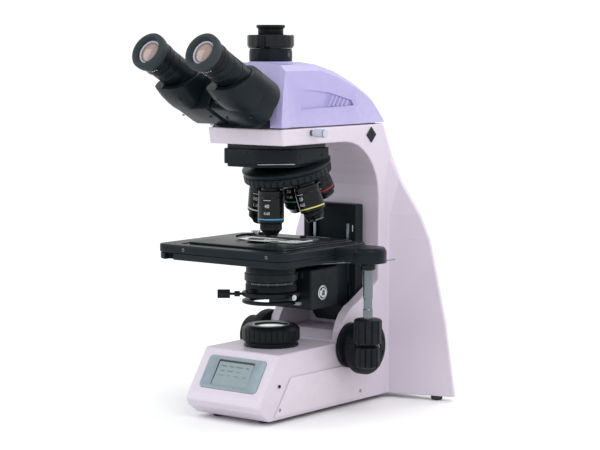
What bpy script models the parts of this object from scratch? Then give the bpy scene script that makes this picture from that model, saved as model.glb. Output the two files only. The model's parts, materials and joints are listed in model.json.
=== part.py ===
"""Trinocular laboratory microscope: stand, focus, mechanical stage, condenser, turret and viewing head.

The optical axis stands at x = 0, y = AXIS_Y. The user sits on the -Y side, and the stage drive is on +X.
"""
import math

import bmesh
import bpy
from mathutils import Matrix, Vector

MM = 0.001
GAP = 0.3 * MM
AXIS_Y = -8.9 * MM

# Stand
FOOT_HEIGHT = 5 * MM
FOOT_RADIUS = 7 * MM
STAND_HALF_WIDTH = 52.5 * MM
CHANNEL_HALF_WIDTH = 40 * MM
BASE_TOP = 76 * MM
BASE_FRONT = 86 * MM
BASE_FRONT_TOP = 51 * MM
BASE_CHIN = 22 * MM
ARM_TOP = 321 * MM
ARM_THICKNESS = 18 * MM
ARM_FRONT = 46 * MM
COLUMN_FRONT = 123 * MM
COLUMN_REAR = 184 * MM
FLARE_START = 152 * MM
FLARE_HALF_WIDTH = 131 * MM

# Heights on the optical axis
STAGE_TOP = 193.5 * MM
STAGE_THICKNESS = 16 * MM
TURRET_SEAT = 252 * MM
FOCUS_SHAFT_Y = 74 * MM
FOCUS_SHAFT_Z = 72 * MM

# Optics
OBJECTIVE_CIRCLE = 33 * MM
TURRET_TILT = math.radians(14)
EYE_TILT = math.radians(28)
EYE_SPACING = 75 * MM
EYE_POINT_Y = -163 * MM
EYE_POINT_Z = ARM_TOP + 87 * MM
HEAD_HEIGHT = 70 * MM

for old in list(bpy.data.objects):
    bpy.data.objects.remove(old, do_unlink=True)

parts = bpy.data.collections.new("microscope")
cutters = bpy.data.collections.new("cutters")
cutters.hide_render = True
bpy.context.scene.collection.children.link(parts)
bpy.context.scene.collection.children.link(cutters)

FINISHES = {
    "lilac_paint": ((0.66, 0.57, 0.67), 0.38, 0.0),
    "lavender_paint": ((0.45, 0.40, 0.68), 0.36, 0.0),
    "black_enamel": ((0.012, 0.016, 0.019), 0.32, 0.0),
    "black_rubber": ((0.020, 0.021, 0.023), 0.75, 0.0),
    "black_plastic": ((0.016, 0.018, 0.021), 0.42, 0.0),
    "steel": ((0.52, 0.55, 0.57), 0.24, 1.0),
    "brass": ((0.48, 0.38, 0.21), 0.30, 1.0),
    "optical_glass": ((0.80, 0.84, 0.86), 0.05, 0.0),
    "frosted_glass": ((0.80, 0.86, 0.80), 0.45, 0.0),
    "display_glass": ((0.24, 0.32, 0.36), 0.22, 0.0),
    "bezel_grey": ((0.21, 0.28, 0.33), 0.40, 0.0),
    "white_plastic": ((0.72, 0.72, 0.78), 0.40, 0.0),
}


def finish(name):
    """The material of that name, made once."""
    made = bpy.data.materials.get(name)
    if made:
        return made
    colour, roughness, metallic = FINISHES[name]
    made = bpy.data.materials.new(name)
    made.use_nodes = True
    shader = made.node_tree.nodes["Principled BSDF"]
    shader.inputs["Base Color"].default_value = (*colour, 1)
    shader.inputs["Roughness"].default_value = roughness
    shader.inputs["Metallic"].default_value = metallic
    return made


def place(y, x=0.0, z=0.0):
    """A point given from the optical axis."""
    return Vector((x, AXIS_Y + y, z))


def frame(origin, z_axis, x_hint=(1, 0, 0)):
    """A matrix whose Z runs along z_axis and whose X is the hint made square to it."""
    z = Vector(z_axis).normalized()
    x = Vector(x_hint)
    if abs(z.dot(x)) > 0.99:
        x = Vector((0, 1, 0))
    x = (x - z * x.dot(z)).normalized()
    y = z.cross(x)
    turn = Matrix((x, y, z)).transposed().to_4x4()
    return Matrix.Translation(origin) @ turn


def add(name, mesh, material, matrix=None, smooth=True):
    """One named object in the parts collection."""
    body = bpy.data.objects.new(name, mesh)
    mesh.materials.append(finish(material))
    if matrix is not None:
        body.matrix_world = matrix
    parts.objects.link(body)
    if smooth:
        mesh.shade_smooth()
        mesh.set_sharp_from_angle(angle=math.radians(35))
    return body


def as_cutter(body):
    """Moves an object to the cutters, out of the build."""
    parts.objects.unlink(body)
    cutters.objects.link(body)
    body.hide_render = True
    body.display_type = "WIRE"
    return body


def combine(body, other, operation="DIFFERENCE"):
    """An exact Boolean with an object, which becomes a cutter."""
    if other.name not in cutters.objects:
        as_cutter(other)
    step = body.modifiers.new(f"{operation.lower()} {other.name}", "BOOLEAN")
    step.operation = operation
    step.solver = "EXACT"
    step.object = other
    return body


def join(body, other):
    """Makes another shape part of the body."""
    return combine(body, other, "UNION")


def box(name, size, material="black_enamel", matrix=None, bevel=0.0, segments=1):
    """A box centred on its matrix."""
    mesh = bpy.data.meshes.new(name)
    shape = bmesh.new()
    bmesh.ops.create_cube(shape, size=1)
    bmesh.ops.scale(shape, vec=size, verts=shape.verts)
    if bevel:
        bmesh.ops.bevel(shape, geom=shape.edges, offset=bevel, segments=segments, affect="EDGES",
                        profile=0.5)
    shape.to_mesh(mesh)
    shape.free()
    return add(name, mesh, material, matrix)


def box_between(name, low, high, material="black_enamel", bevel=0.0, segments=1):
    """A box given by two corners, measured from the optical axis."""
    low, high = Vector(low), Vector(high)
    middle = (low + high) / 2
    where = Matrix.Translation((middle.x, AXIS_Y + middle.y, middle.z))
    return box(name, high - low, material, where, bevel, segments)


def cylinder(name, radius, depth, material="black_enamel", matrix=None, sides=32, top=None, bevel=0.0):
    """A cylinder or a cone along Z that starts at its matrix and runs up."""
    mesh = bpy.data.meshes.new(name)
    shape = bmesh.new()
    bmesh.ops.create_cone(shape, cap_ends=True, segments=sides, radius1=radius,
                          radius2=radius if top is None else top, depth=depth)
    bmesh.ops.translate(shape, vec=(0, 0, depth / 2), verts=shape.verts)
    if bevel:
        rims = [e for e in shape.edges if abs(e.verts[0].co.z - e.verts[1].co.z) < 1e-6]
        bmesh.ops.bevel(shape, geom=rims, offset=bevel, segments=1, affect="EDGES")
    shape.to_mesh(mesh)
    shape.free()
    return add(name, mesh, material, matrix)


def turned(name, profile, material="black_enamel", matrix=None, sides=32):
    """A turned piece, from (radius, height) down its outer side. A ring's profile comes back up its bore."""
    mesh = bpy.data.meshes.new(name)
    points = [(r, 0, z) for r, z in profile]
    edges = [(i, i + 1) for i in range(len(points) - 1)]
    if profile[0][0] > 0:
        edges.append((len(points) - 1, 0))
    mesh.from_pydata(points, edges, [])
    body = add(name, mesh, material, matrix, smooth=False)
    spin = body.modifiers.new("turn", "SCREW")
    spin.steps = spin.render_steps = sides
    spin.use_merge_vertices = True
    spin.merge_threshold = 0.00001
    spin.use_smooth_shade = True
    return body


def prism(name, outline, depth, material="black_enamel", matrix=None, bevel=0.0, smooth=True):
    """A flat outline (counter-clockwise) in XY, extruded up Z by depth."""
    mesh = bpy.data.meshes.new(name)
    shape = bmesh.new()
    face = shape.faces.new([shape.verts.new((x, y, 0)) for x, y in outline])
    lifted = bmesh.ops.extrude_face_region(shape, geom=[face])
    top = [v for v in lifted["geom"] if isinstance(v, bmesh.types.BMVert)]
    bmesh.ops.translate(shape, vec=(0, 0, depth), verts=top)
    bmesh.ops.recalc_face_normals(shape, faces=shape.faces)
    if bevel:
        rims = [e for e in shape.edges if abs(e.verts[0].co.z - e.verts[1].co.z) < 1e-6]
        bmesh.ops.bevel(shape, geom=rims, offset=bevel, segments=2, affect="EDGES", profile=0.5)
    shape.to_mesh(mesh)
    shape.free()
    return add(name, mesh, material, matrix, smooth)


def loft(name, sections, material, matrix=None):
    """A body through closed sections that have the same number of points each."""
    mesh = bpy.data.meshes.new(name)
    shape = bmesh.new()
    rings = [[shape.verts.new(p) for p in section] for section in sections]
    count = len(rings[0])
    for near, far in zip(rings, rings[1:]):
        for i in range(count):
            shape.faces.new((near[i], near[(i + 1) % count], far[(i + 1) % count], far[i]))
    shape.faces.new(rings[0])
    shape.faces.new(rings[-1])
    bmesh.ops.recalc_face_normals(shape, faces=shape.faces)
    shape.to_mesh(mesh)
    shape.free()
    return add(name, mesh, material, matrix)


def arc(centre, radius, start, end, steps):
    """Points along an arc, angles in degrees."""
    turns = [math.radians(start + (end - start) * i / steps) for i in range(steps + 1)]
    return [(centre[0] + radius * math.cos(t), centre[1] + radius * math.sin(t)) for t in turns]


def rounded(width, height, radius, steps=4):
    """A rectangle with round corners, centred."""
    w, h = width / 2 - radius, height / 2 - radius
    corners = ((w, h, 0), (-w, h, 90), (-w, -h, 180), (w, -h, 270))
    return [p for x, y, a in corners for p in arc((x, y), radius, a, a + 90, steps)]


def toothed(radius, depth, count):
    """The outline of a grip with shallow flutes."""
    points = []
    for i in range(count):
        for shift, r in ((0.0, radius), (0.5, radius), (0.62, radius - depth), (0.88, radius - depth)):
            turn = 2 * math.pi * (i + shift) / count
            points.append((r * math.cos(turn), r * math.sin(turn)))
    return points


TO_X = (1, 0, 0)
TO_Y = (0, 1, 0)
TO_Z = (0, 0, 1)
# A side outline is drawn as (y, z) and extruded along +X.
SIDE = Matrix(((0, 0, 1, 0), (1, 0, 0, AXIS_Y), (0, 1, 0, 0), (0, 0, 0, 1)))

# ---------------------------------------------------------------- stand

COLUMN_LEAN = ((5, 184), (150, 181), (200, 178), (240, 174), (281, 166), (322, 145))
FLARE_WIDTHS = ((5, 131), (90, 119), (159, 104), (187, 98), (215, 86), (254, 62), (281, 52.5), (322, 52.5))


def between(table, height):
    """A value read off a table of (height, value) in millimetres, straight between its rows."""
    z = height / MM
    for (low, a), (high, b) in zip(table, table[1:]):
        if z <= high:
            return (a + (b - a) * (z - low) / (high - low)) * MM
    return table[-1][1] * MM


def rear_at(height):
    """Where the column's back face stands at a height."""
    return between(COLUMN_LEAN, height) + (COLUMN_REAR - COLUMN_LEAN[0][1] * MM)


def flare_at(height):
    """The half width of the rear legs, which melt into the column as they rise."""
    widest, narrowest = FLARE_WIDTHS[0][1] * MM, FLARE_WIDTHS[-1][1] * MM
    share = (between(FLARE_WIDTHS, height) - narrowest) / (widest - narrowest)
    return STAND_HALF_WIDTH + share * (FLARE_HALF_WIDTH - STAND_HALF_WIDTH)


def plan_at(height):
    """The stand's outline seen from above at a height."""
    rear, leg = rear_at(height), flare_at(height) + 0.05 * MM
    half = STAND_HALF_WIDTH
    start = min(FLARE_START, rear - 12 * MM)
    toe = max(rear - 9 * MM, start + 2 * MM)
    # The outline runs on past the column's back, so that the side outline alone cuts it there.
    right = [(half, -120 * MM), (half, start), (leg, toe), (leg - 8 * MM, rear + (rear - toe))]
    left = [(-x, y) for x, y in reversed(right)]
    return [(x, AXIS_Y + y, height) for x, y in right + left]


def side_outline():
    """The stand seen from its right: chin, sloping front, base top, cheek, column, arch and head plate."""
    bottom = FOOT_HEIGHT
    knuckle = arc((104 * MM, BASE_TOP), 44 * MM, 180, 105, 5)
    arch = arc((66 * MM, 237 * MM), 66 * MM, 0, 78, 7)
    inner = COLUMN_FRONT + 10 * MM
    shape = [(-68 * MM, bottom), (rear_at(bottom), bottom)]
    shape += [(rear_at(z * MM), z * MM) for z, _ in COLUMN_LEAN[1:-1]]
    shape += [(rear_at(ARM_TOP), ARM_TOP), (-ARM_FRONT, ARM_TOP),
              (-ARM_FRONT + 3 * MM, ARM_TOP - ARM_THICKNESS)]
    shape += [(66 * MM, ARM_TOP - ARM_THICKNESS)]
    shape += [(y + inner - 132 * MM, z) for y, z in reversed(arch)]
    shape += [(inner, 140 * MM)]
    shape += [(y, z) for y, z in reversed(knuckle)]
    shape += [(-BASE_FRONT_TOP, BASE_TOP), (-BASE_FRONT + 3 * MM, BASE_CHIN + 6 * MM),
              (-BASE_FRONT, BASE_CHIN), (-BASE_FRONT + 4 * MM, BASE_CHIN - 7 * MM)]
    return shape


def make_stand():
    """The casting: a side outline cut to the plan, with the channel, bores and hollows taken out."""
    width = 2 * (FLARE_HALF_WIDTH + 20 * MM)
    side = SIDE.copy()
    side.translation.x = -width / 2
    body = prism("stand_casting", side_outline(), width, "lilac_paint", side)
    heights = [z * MM for z, _ in FLARE_WIDTHS]
    heights[0] -= 4 * MM
    heights[-1] += 4 * MM
    plan = loft("stand_plan", [plan_at(z) for z in heights], "lilac_paint")
    combine(body, plan, "INTERSECT")
    soften = body.modifiers.new("soft edges", "BEVEL")
    soften.width = 1.5 * MM
    soften.segments = 2
    soften.limit_method = "ANGLE"
    soften.angle_limit = math.radians(40)
    wall = COLUMN_FRONT
    soffit = arc((wall - 66 * MM, 237 * MM), 66 * MM, 0, 66, 5)
    channel_side = [(57 * MM, BASE_TOP), (76 * MM, BASE_TOP + 10 * MM), (wall, BASE_TOP + 10 * MM)]
    channel_side += [*soffit, (57 * MM, 292 * MM)]
    channel = prism("focus_channel", channel_side, 2 * CHANNEL_HALF_WIDTH)
    channel.matrix_world = Matrix.Translation((-CHANNEL_HALF_WIDTH, 0, 0)) @ SIDE
    combine(body, channel)
    cavity = box_between("lamp_chamber", (-44 * MM, -48 * MM, -5 * MM),
                         (44 * MM, 150 * MM, BASE_TOP - 8 * MM))
    combine(body, cavity)
    combine(body, cylinder("lamp_bore", 26 * MM, 40 * MM,
                           matrix=Matrix.Translation(place(0, z=BASE_TOP - 20 * MM))))
    combine(body, cylinder("light_bore", 19 * MM, 60 * MM,
                           matrix=Matrix.Translation(place(0, z=ARM_TOP - 40 * MM))))
    shaft = frame(place(FOCUS_SHAFT_Y, x=-80 * MM, z=FOCUS_SHAFT_Z), TO_X)
    combine(body, cylinder("shaft_bore", 9 * MM, 160 * MM, matrix=shaft, sides=24))
    combine(body, bezel_shape("bezel_pocket", GAP, 3 * MM))
    rod = frame(place(LIGHT_ROD_Y, z=LIGHT_ROD_Z), TO_X)
    combine(body, cylinder("rod_bore", 3 * MM + GAP, 80 * MM, matrix=rod, sides=16))
    return body


# Display on the sloping front
FRONT_SLOPE = math.atan2(BASE_FRONT - 3 * MM - BASE_FRONT_TOP, BASE_TOP - BASE_CHIN - 6 * MM)
BEZEL_WIDTH = 81 * MM
BEZEL_HEIGHT = 39.5 * MM
BEZEL_DEPTH = 3 * MM
WINDOW_WIDTH = 51 * MM
WINDOW_HEIGHT = 31 * MM
LIGHT_ROD_Y = 6 * MM
LIGHT_ROD_Z = ARM_TOP - 5.5 * MM


def front_face():
    """A frame on the middle of the sloping front, X to the right, Y up the slope and Z outwards."""
    out = Vector((0, -math.cos(FRONT_SLOPE), math.sin(FRONT_SLOPE)))
    low = Vector((0, -BASE_FRONT + 3 * MM, BASE_CHIN + 6 * MM))
    high = Vector((0, -BASE_FRONT_TOP, BASE_TOP))
    middle = (low + high) / 2
    return frame(place(middle.y, z=middle.z), out)


def bezel_shape(name, grow, deep, width=None, height=None, radius=5 * MM, rise=0.6 * MM):
    """The bezel's rounded block, grown for its pocket."""
    outline = rounded((width or BEZEL_WIDTH) + 2 * grow, (height or BEZEL_HEIGHT) + 2 * grow, radius + grow)
    sunk = front_face() @ Matrix.Translation((0, 0, -deep))
    return prism(name, outline, deep + rise, "bezel_grey", sunk)


def make_display():
    """The bezel in the front face and the glass sunk into it."""
    bezel = bezel_shape("display_bezel", 0, BEZEL_DEPTH - GAP)
    window = bezel_shape("window_pocket", 0, 1.6 * MM, WINDOW_WIDTH, WINDOW_HEIGHT, 1.5 * MM, 3 * MM)
    combine(bezel, window)
    glass = rounded(WINDOW_WIDTH - 2 * GAP, WINDOW_HEIGHT - 2 * GAP, 1.5 * MM, 2)
    seat = front_face() @ Matrix.Translation((0, 0, -1.6 * MM + GAP))
    prism("display_glass", glass, 1.0 * MM, "display_glass", seat)


# Small pieces on the stand
COVER_THICKNESS = 1.2 * MM
FEET = {"front_left": (-33, -52), "front_right": (33, -52), "rear_left": (-106, 175.5),
        "rear_right": (106, 175.5)}


def make_stand_trim():
    """The bottom plate, feet, side cover, inlet, switch, brightness knob and badge."""
    plate_outline = ((42 * MM, -46 * MM), (42 * MM, 148 * MM), (-42 * MM, 148 * MM), (-42 * MM, -46 * MM))
    prism("bottom_plate", plate_outline, 2 * MM, "black_enamel",
          Matrix.Translation((0, AXIS_Y, FOOT_HEIGHT + 1 * MM)))
    for corner, (x, y) in FEET.items():
        where = Matrix.Translation(place(y * MM, x=x * MM))
        cylinder(f"foot_{corner}", FOOT_RADIUS, FOOT_HEIGHT - GAP, "black_rubber", where, 24,
                 bevel=0.8 * MM)
    outline = [(-61 * MM, 9 * MM), (92 * MM, 9 * MM), (104 * MM, 24 * MM), (104 * MM, 49 * MM),
               (-32 * MM, 49 * MM)]
    cover = prism("side_cover", outline, COVER_THICKNESS, "lilac_paint")
    cover.matrix_world = Matrix.Translation((STAND_HALF_WIDTH + GAP, 0, 0)) @ SIDE
    rear = rear_at(24 * MM)
    panel = frame(place(rear + GAP, x=-12 * MM, z=37 * MM), TO_Y)
    inlet = prism("power_inlet", rounded(66 * MM, 30 * MM, 3 * MM, 2), 3 * MM, "black_plastic", panel)
    join(inlet, box("inlet_shroud", (28 * MM, 22 * MM, 6 * MM),
                    matrix=panel @ Matrix.Translation((-14 * MM, 0, 3 * MM + GAP)), bevel=1 * MM))
    combine(inlet, prism("inlet_socket", rounded(22 * MM, 15 * MM, 3 * MM, 1), 5 * MM,
                         matrix=panel @ Matrix.Translation((-14 * MM, 0, 2 * MM))))
    tilt = frame(place(rear + GAP, x=12 * MM, z=37 * MM), TO_Y)
    combine(inlet, prism("switch_pocket", rounded(11 * MM, 18 * MM, 0.5 * MM, 1), 4 * MM,
                         matrix=tilt @ Matrix.Translation((0, 0, 1 * MM))))
    rocker = [(-8.4 * MM, -0.2 * MM), (8.4 * MM, -0.2 * MM), (8.4 * MM, 3.4 * MM), (0, 1.8 * MM),
              (-8.4 * MM, 2.6 * MM)]
    rocker_place = frame(place(rear + GAP + 2 * MM, x=6.9 * MM, z=37 * MM), TO_X, TO_Z)
    prism("power_rocker", [(-a, -b) for a, b in rocker], 10.2 * MM, "black_plastic", rocker_place)
    dial = frame(place(18 * MM, x=-STAND_HALF_WIDTH - GAP, z=48 * MM), (-1, 0, 0))
    prism("brightness_knob", toothed(9 * MM, 0.6 * MM, 16), 9 * MM, "black_plastic", dial)
    badge = frame(place(117 * MM, x=STAND_HALF_WIDTH + GAP, z=309 * MM), TO_X, TO_Y)
    prism("arm_badge", [(-9 * MM, 0), (0, -9 * MM), (9 * MM, 0), (0, 9 * MM)], 0.8 * MM,
          "black_plastic", badge)


# ---------------------------------------------------------------- field illuminator

FIELD_RING_RADIUS = 31.5 * MM
FIELD_LENS_RADIUS = 17 * MM
FLANGE_TOP = BASE_TOP + 5 * MM


def make_field_illuminator():
    """The fixed flange, the turning field ring, the lens and the lamp under it."""
    axis = Matrix.Translation(place(0))
    flange_radius = FIELD_RING_RADIUS - 0.5 * MM
    turned("field_flange", [(flange_radius, FLANGE_TOP), (flange_radius, BASE_TOP + GAP),
                            (22 * MM, BASE_TOP + GAP), (22 * MM, BASE_TOP + 16 * MM), (24 * MM,
                                                                                       BASE_TOP + 16 * MM),
                            (24 * MM, FLANGE_TOP)], matrix=axis)
    bore = 24 * MM + GAP
    low, high = FLANGE_TOP + GAP, BASE_TOP + 24 * MM
    ring = prism("field_ring", toothed(FIELD_RING_RADIUS + 1 * MM, 0.7 * MM, 18), 12 * MM,
                 matrix=Matrix.Translation(place(0, z=low + 1.5 * MM)))
    join(ring, turned("ring_collar", [(27.5 * MM, high), (FIELD_RING_RADIUS - 0.5 * MM, low + 15 * MM),
                                      (FIELD_RING_RADIUS - 0.5 * MM, low), (12 * MM, low), (12 * MM, high)],
                      matrix=axis))
    combine(ring, turned("ring_bore", [(19 * MM, high + 1 * MM), (19 * MM, high - 3 * MM),
                                       (bore, high - 3 * MM),
                                       (bore, low - 1 * MM), (0, low - 1 * MM), (0, high + 1 * MM)],
                         matrix=axis))
    dome = high - 1.4 * MM
    turned("field_lens", [(0, dome), (9 * MM, dome - 0.5 * MM), (FIELD_LENS_RADIUS, dome - 2 * MM),
                          (FIELD_LENS_RADIUS, dome - 6 * MM), (0, dome - 6 * MM)], "frosted_glass", axis)
    lamp = box_between("lamp_board", (-22 * MM, -22 * MM, 24 * MM), (22 * MM, 22 * MM, 34 * MM),
                       "steel", 1 * MM)
    join(lamp, cylinder("lamp_led", 8 * MM, 5 * MM, matrix=Matrix.Translation(place(0, z=33 * MM)),
                        sides=20))


# ---------------------------------------------------------------- focus

COARSE_RADIUS = 31 * MM
COARSE_DEPTH = 16 * MM
DIMPLE_CIRCLE = 26 * MM
COARSE_INSET = {"right": 15 * MM, "left": 0}
FINE_RADII = {"right": 14 * MM, "left": 22 * MM}
FINE_DEPTHS = {"right": 6 * MM, "left": 20 * MM}
COVER_FRONT = 108 * MM
CARRIER_REAR = COVER_FRONT - 1 * MM


def make_focus():
    """The shaft through the cheeks, both pairs of knobs, the tension collar and the black guide cover."""
    start = STAND_HALF_WIDTH + 2 * MM
    shaft_half = start + COARSE_DEPTH + 6 * MM
    at = place(FOCUS_SHAFT_Y, z=FOCUS_SHAFT_Z)
    cylinder("focus_shaft", 4 * MM, 2 * shaft_half, "steel",
             frame(at - Vector((shaft_half, 0, 0)), TO_X), 20)
    for side, name in ((1, "right"), (-1, "left")):
        out = (side, 0, 0)
        inner = start + COARSE_INSET[name]
        knob = frame(at + Vector((side * inner, 0, 0)), out)
        rim = COARSE_RADIUS
        profile = [(rim - 3 * MM, COARSE_DEPTH), (rim, COARSE_DEPTH - 3 * MM), (rim, 3 * MM),
                   (rim - 2 * MM, 0),
                   (4 * MM + GAP, 0), (4 * MM + GAP, COARSE_DEPTH)]
        coarse = turned(f"coarse_knob_{name}", profile, "black_plastic", knob, 32)
        for i in range(8):
            turn = 2 * math.pi * (i + 0.5) / 8
            spot = knob @ Matrix.Translation((DIMPLE_CIRCLE * math.cos(turn), DIMPLE_CIRCLE * math.sin(turn),
                                              COARSE_DEPTH - 1.5 * MM))
            combine(coarse, cylinder(f"dimple_{name}_{i}", 2.6 * MM, 3 * MM, matrix=spot, sides=6))
        outer = frame(at + Vector((side * (inner + COARSE_DEPTH + GAP), 0, 0)), out)
        fine = prism(f"fine_knob_{name}", toothed(FINE_RADII[name], 0.7 * MM, 16), FINE_DEPTHS[name],
                     "black_plastic", outer)
        combine(fine, cylinder(f"fine_bore_{name}", 4 * MM + GAP, 9 * MM,
                               matrix=outer @ Matrix.Translation((0, 0, -1 * MM)), sides=16))
    collar = frame(at + Vector((STAND_HALF_WIDTH + COVER_THICKNESS + 2 * GAP, 0, 0)), TO_X)
    collar_profile = [(26 * MM, 4.4 * MM), (26 * MM, 0), (4 * MM + GAP, 0), (4 * MM + GAP, 4.4 * MM)]
    turned("tension_collar", collar_profile, "black_plastic", collar, 32)
    half = CHANNEL_HALF_WIDTH - 2 * MM
    low, high, cut = 92 * MM, 229 * MM, 24 * MM
    outline = [(half, low + cut), (half, high), (-half, high), (-half, low + cut), (-half + cut * 0.8, low),
               (half - cut * 0.8, low)]
    cover = prism("guide_cover", outline, COLUMN_FRONT - COVER_FRONT - GAP)
    cover.matrix_world = Matrix(((1, 0, 0, 0), (0, 0, -1, AXIS_Y + COLUMN_FRONT - GAP), (0, 1, 0, 0),
                                 (0, 0, 0, 1)))
    combine(cover, box_between("guide_slot", (-30 * MM, COVER_FRONT - 1 * MM, 108 * MM),
                               (30 * MM, COVER_FRONT + 8 * MM, 220 * MM)))


# ---------------------------------------------------------------- focus carrier and stage

STAGE_LEFT = -102 * MM
STAGE_RIGHT = 80 * MM
STAGE_FRONT = -80 * MM
STAGE_REAR = 78 * MM
PLATE_WIDTH = 128 * MM
STAGE_AXIS_HOLE = 17 * MM
STAGE_HOLE_LENGTH = 76 * MM
TABLE_TOP = STAGE_TOP - 2.4 * MM
HUB_X = 108 * MM
HUB_Y = 36 * MM
HUB_RADIUS = 21 * MM
POST_RADIUS = 5.6 * MM
DRIVE_KNOB_RADIUS = 16 * MM
SHELF_TOP = STAGE_TOP - STAGE_THICKNESS - GAP


def make_carrier():
    """The block that the focus drives: a slide plate in the guide and a shelf that the stage sits on."""
    plate = box_between("focus_carrier", (-28 * MM, 84 * MM, 112 * MM), (28 * MM, CARRIER_REAR, SHELF_TOP),
                        bevel=1 * MM)
    join(plate, box_between("carrier_shelf", (-36 * MM, 24 * MM, SHELF_TOP - 9 * MM),
                            (36 * MM, 90 * MM, SHELF_TOP), bevel=1 * MM))
    join(plate, box_between("carrier_tongue", (-29 * MM, 104 * MM, 138 * MM),
                            (29 * MM, COVER_FRONT + 6 * MM, SHELF_TOP - 4 * MM)))
    combine(plate, cylinder("shelf_hole", 29 * MM, 40 * MM,
                            matrix=Matrix.Translation(place(0, z=SHELF_TOP - 20 * MM))))


def make_stage():
    """The table that moves front to back, the raised plate on it, and the drive under its right side."""
    width = STAGE_RIGHT - STAGE_LEFT
    depth = STAGE_REAR - STAGE_FRONT
    table_low = TABLE_TOP - STAGE_THICKNESS + 2.4 * MM + GAP
    middle = place((STAGE_REAR + STAGE_FRONT) / 2, x=(STAGE_LEFT + STAGE_RIGHT) / 2, z=table_low)
    table = prism("stage_table", rounded(width, depth, 16 * MM, 5), STAGE_THICKNESS - 2.4 * MM - GAP,
                  matrix=Matrix.Translation(middle), bevel=1.5 * MM)
    hub_low = STAGE_TOP - STAGE_THICKNESS - 4 * MM
    hub = cylinder("stage_hub", HUB_RADIUS, TABLE_TOP - hub_low,
                   matrix=Matrix.Translation(place(HUB_Y, x=HUB_X, z=hub_low)),
                   sides=40, bevel=1.5 * MM)
    join(table, hub)
    join(table, box_between("stage_neck", (STAGE_RIGHT - 14 * MM, HUB_Y - 18 * MM, table_low + 0.4 * MM),
                            (HUB_X - 2 * MM, HUB_Y + 18 * MM, TABLE_TOP - 0.4 * MM), bevel=1 * MM))
    hole = prism("stage_hole", rounded(2 * STAGE_AXIS_HOLE, STAGE_HOLE_LENGTH,
                                       STAGE_AXIS_HOLE - 0.1 * MM, 6),
                 60 * MM, matrix=Matrix.Translation(place(0, z=STAGE_TOP - 50 * MM)))
    combine(table, hole)
    slot = box_between("front_slot", (-82 * MM, STAGE_FRONT - 5 * MM, STAGE_TOP - STAGE_THICKNESS - 3 * MM),
                       (-60 * MM, STAGE_FRONT + 10 * MM, STAGE_TOP - STAGE_THICKNESS + 4.5 * MM))
    combine(table, slot)
    combine(table, cylinder("post_bore", POST_RADIUS + GAP, 16 * MM,
                            matrix=Matrix.Translation(place(HUB_Y, x=HUB_X, z=hub_low - 1 * MM)), sides=24))
    plate_middle = place((STAGE_REAR + STAGE_FRONT) / 2 + 3.5 * MM, x=-6 * MM, z=TABLE_TOP + GAP)
    plate = prism("stage_plate", rounded(PLATE_WIDTH, depth - 29 * MM, 6 * MM, 4), 2.1 * MM,
                  matrix=Matrix.Translation(plate_middle))
    combine(plate, prism("plate_hole", rounded(2 * STAGE_AXIS_HOLE, STAGE_HOLE_LENGTH,
                                               STAGE_AXIS_HOLE - 0.1 * MM, 6),
                         60 * MM, matrix=Matrix.Translation(place(0, z=STAGE_TOP - 50 * MM))))
    post_top = hub_low + 14 * MM
    post_low = 58 * MM
    cylinder("drive_post", POST_RADIUS, post_top - post_low, "steel",
             Matrix.Translation(place(HUB_Y, x=HUB_X, z=post_low)), 28)
    for name, low, high, radius in (("cross_travel_knob", 57 * MM, 81 * MM, 14 * MM),
                                    ("long_travel_knob", 83 * MM, 112 * MM, DRIVE_KNOB_RADIUS)):
        spot = Matrix.Translation(place(HUB_Y, x=HUB_X, z=low))
        knob = prism(name, toothed(radius, 0.8 * MM, 14), high - low, "black_plastic", spot, smooth=True)
        combine(knob, cylinder(f"{name}_bore", POST_RADIUS + GAP, high - low + 2 * MM,
                               matrix=spot @ Matrix.Translation((0, 0, -1 * MM)), sides=24))


# ---------------------------------------------------------------- condenser

CONDENSER_BORE = 23.5 * MM
FORK_TOP = 164 * MM
FORK_LOW = 150 * MM
FLANGE_HEIGHT = 137.5 * MM
FILTER_HEIGHT = 124 * MM
FILTER_PIVOT = (38 * MM, 2 * MM)


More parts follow.
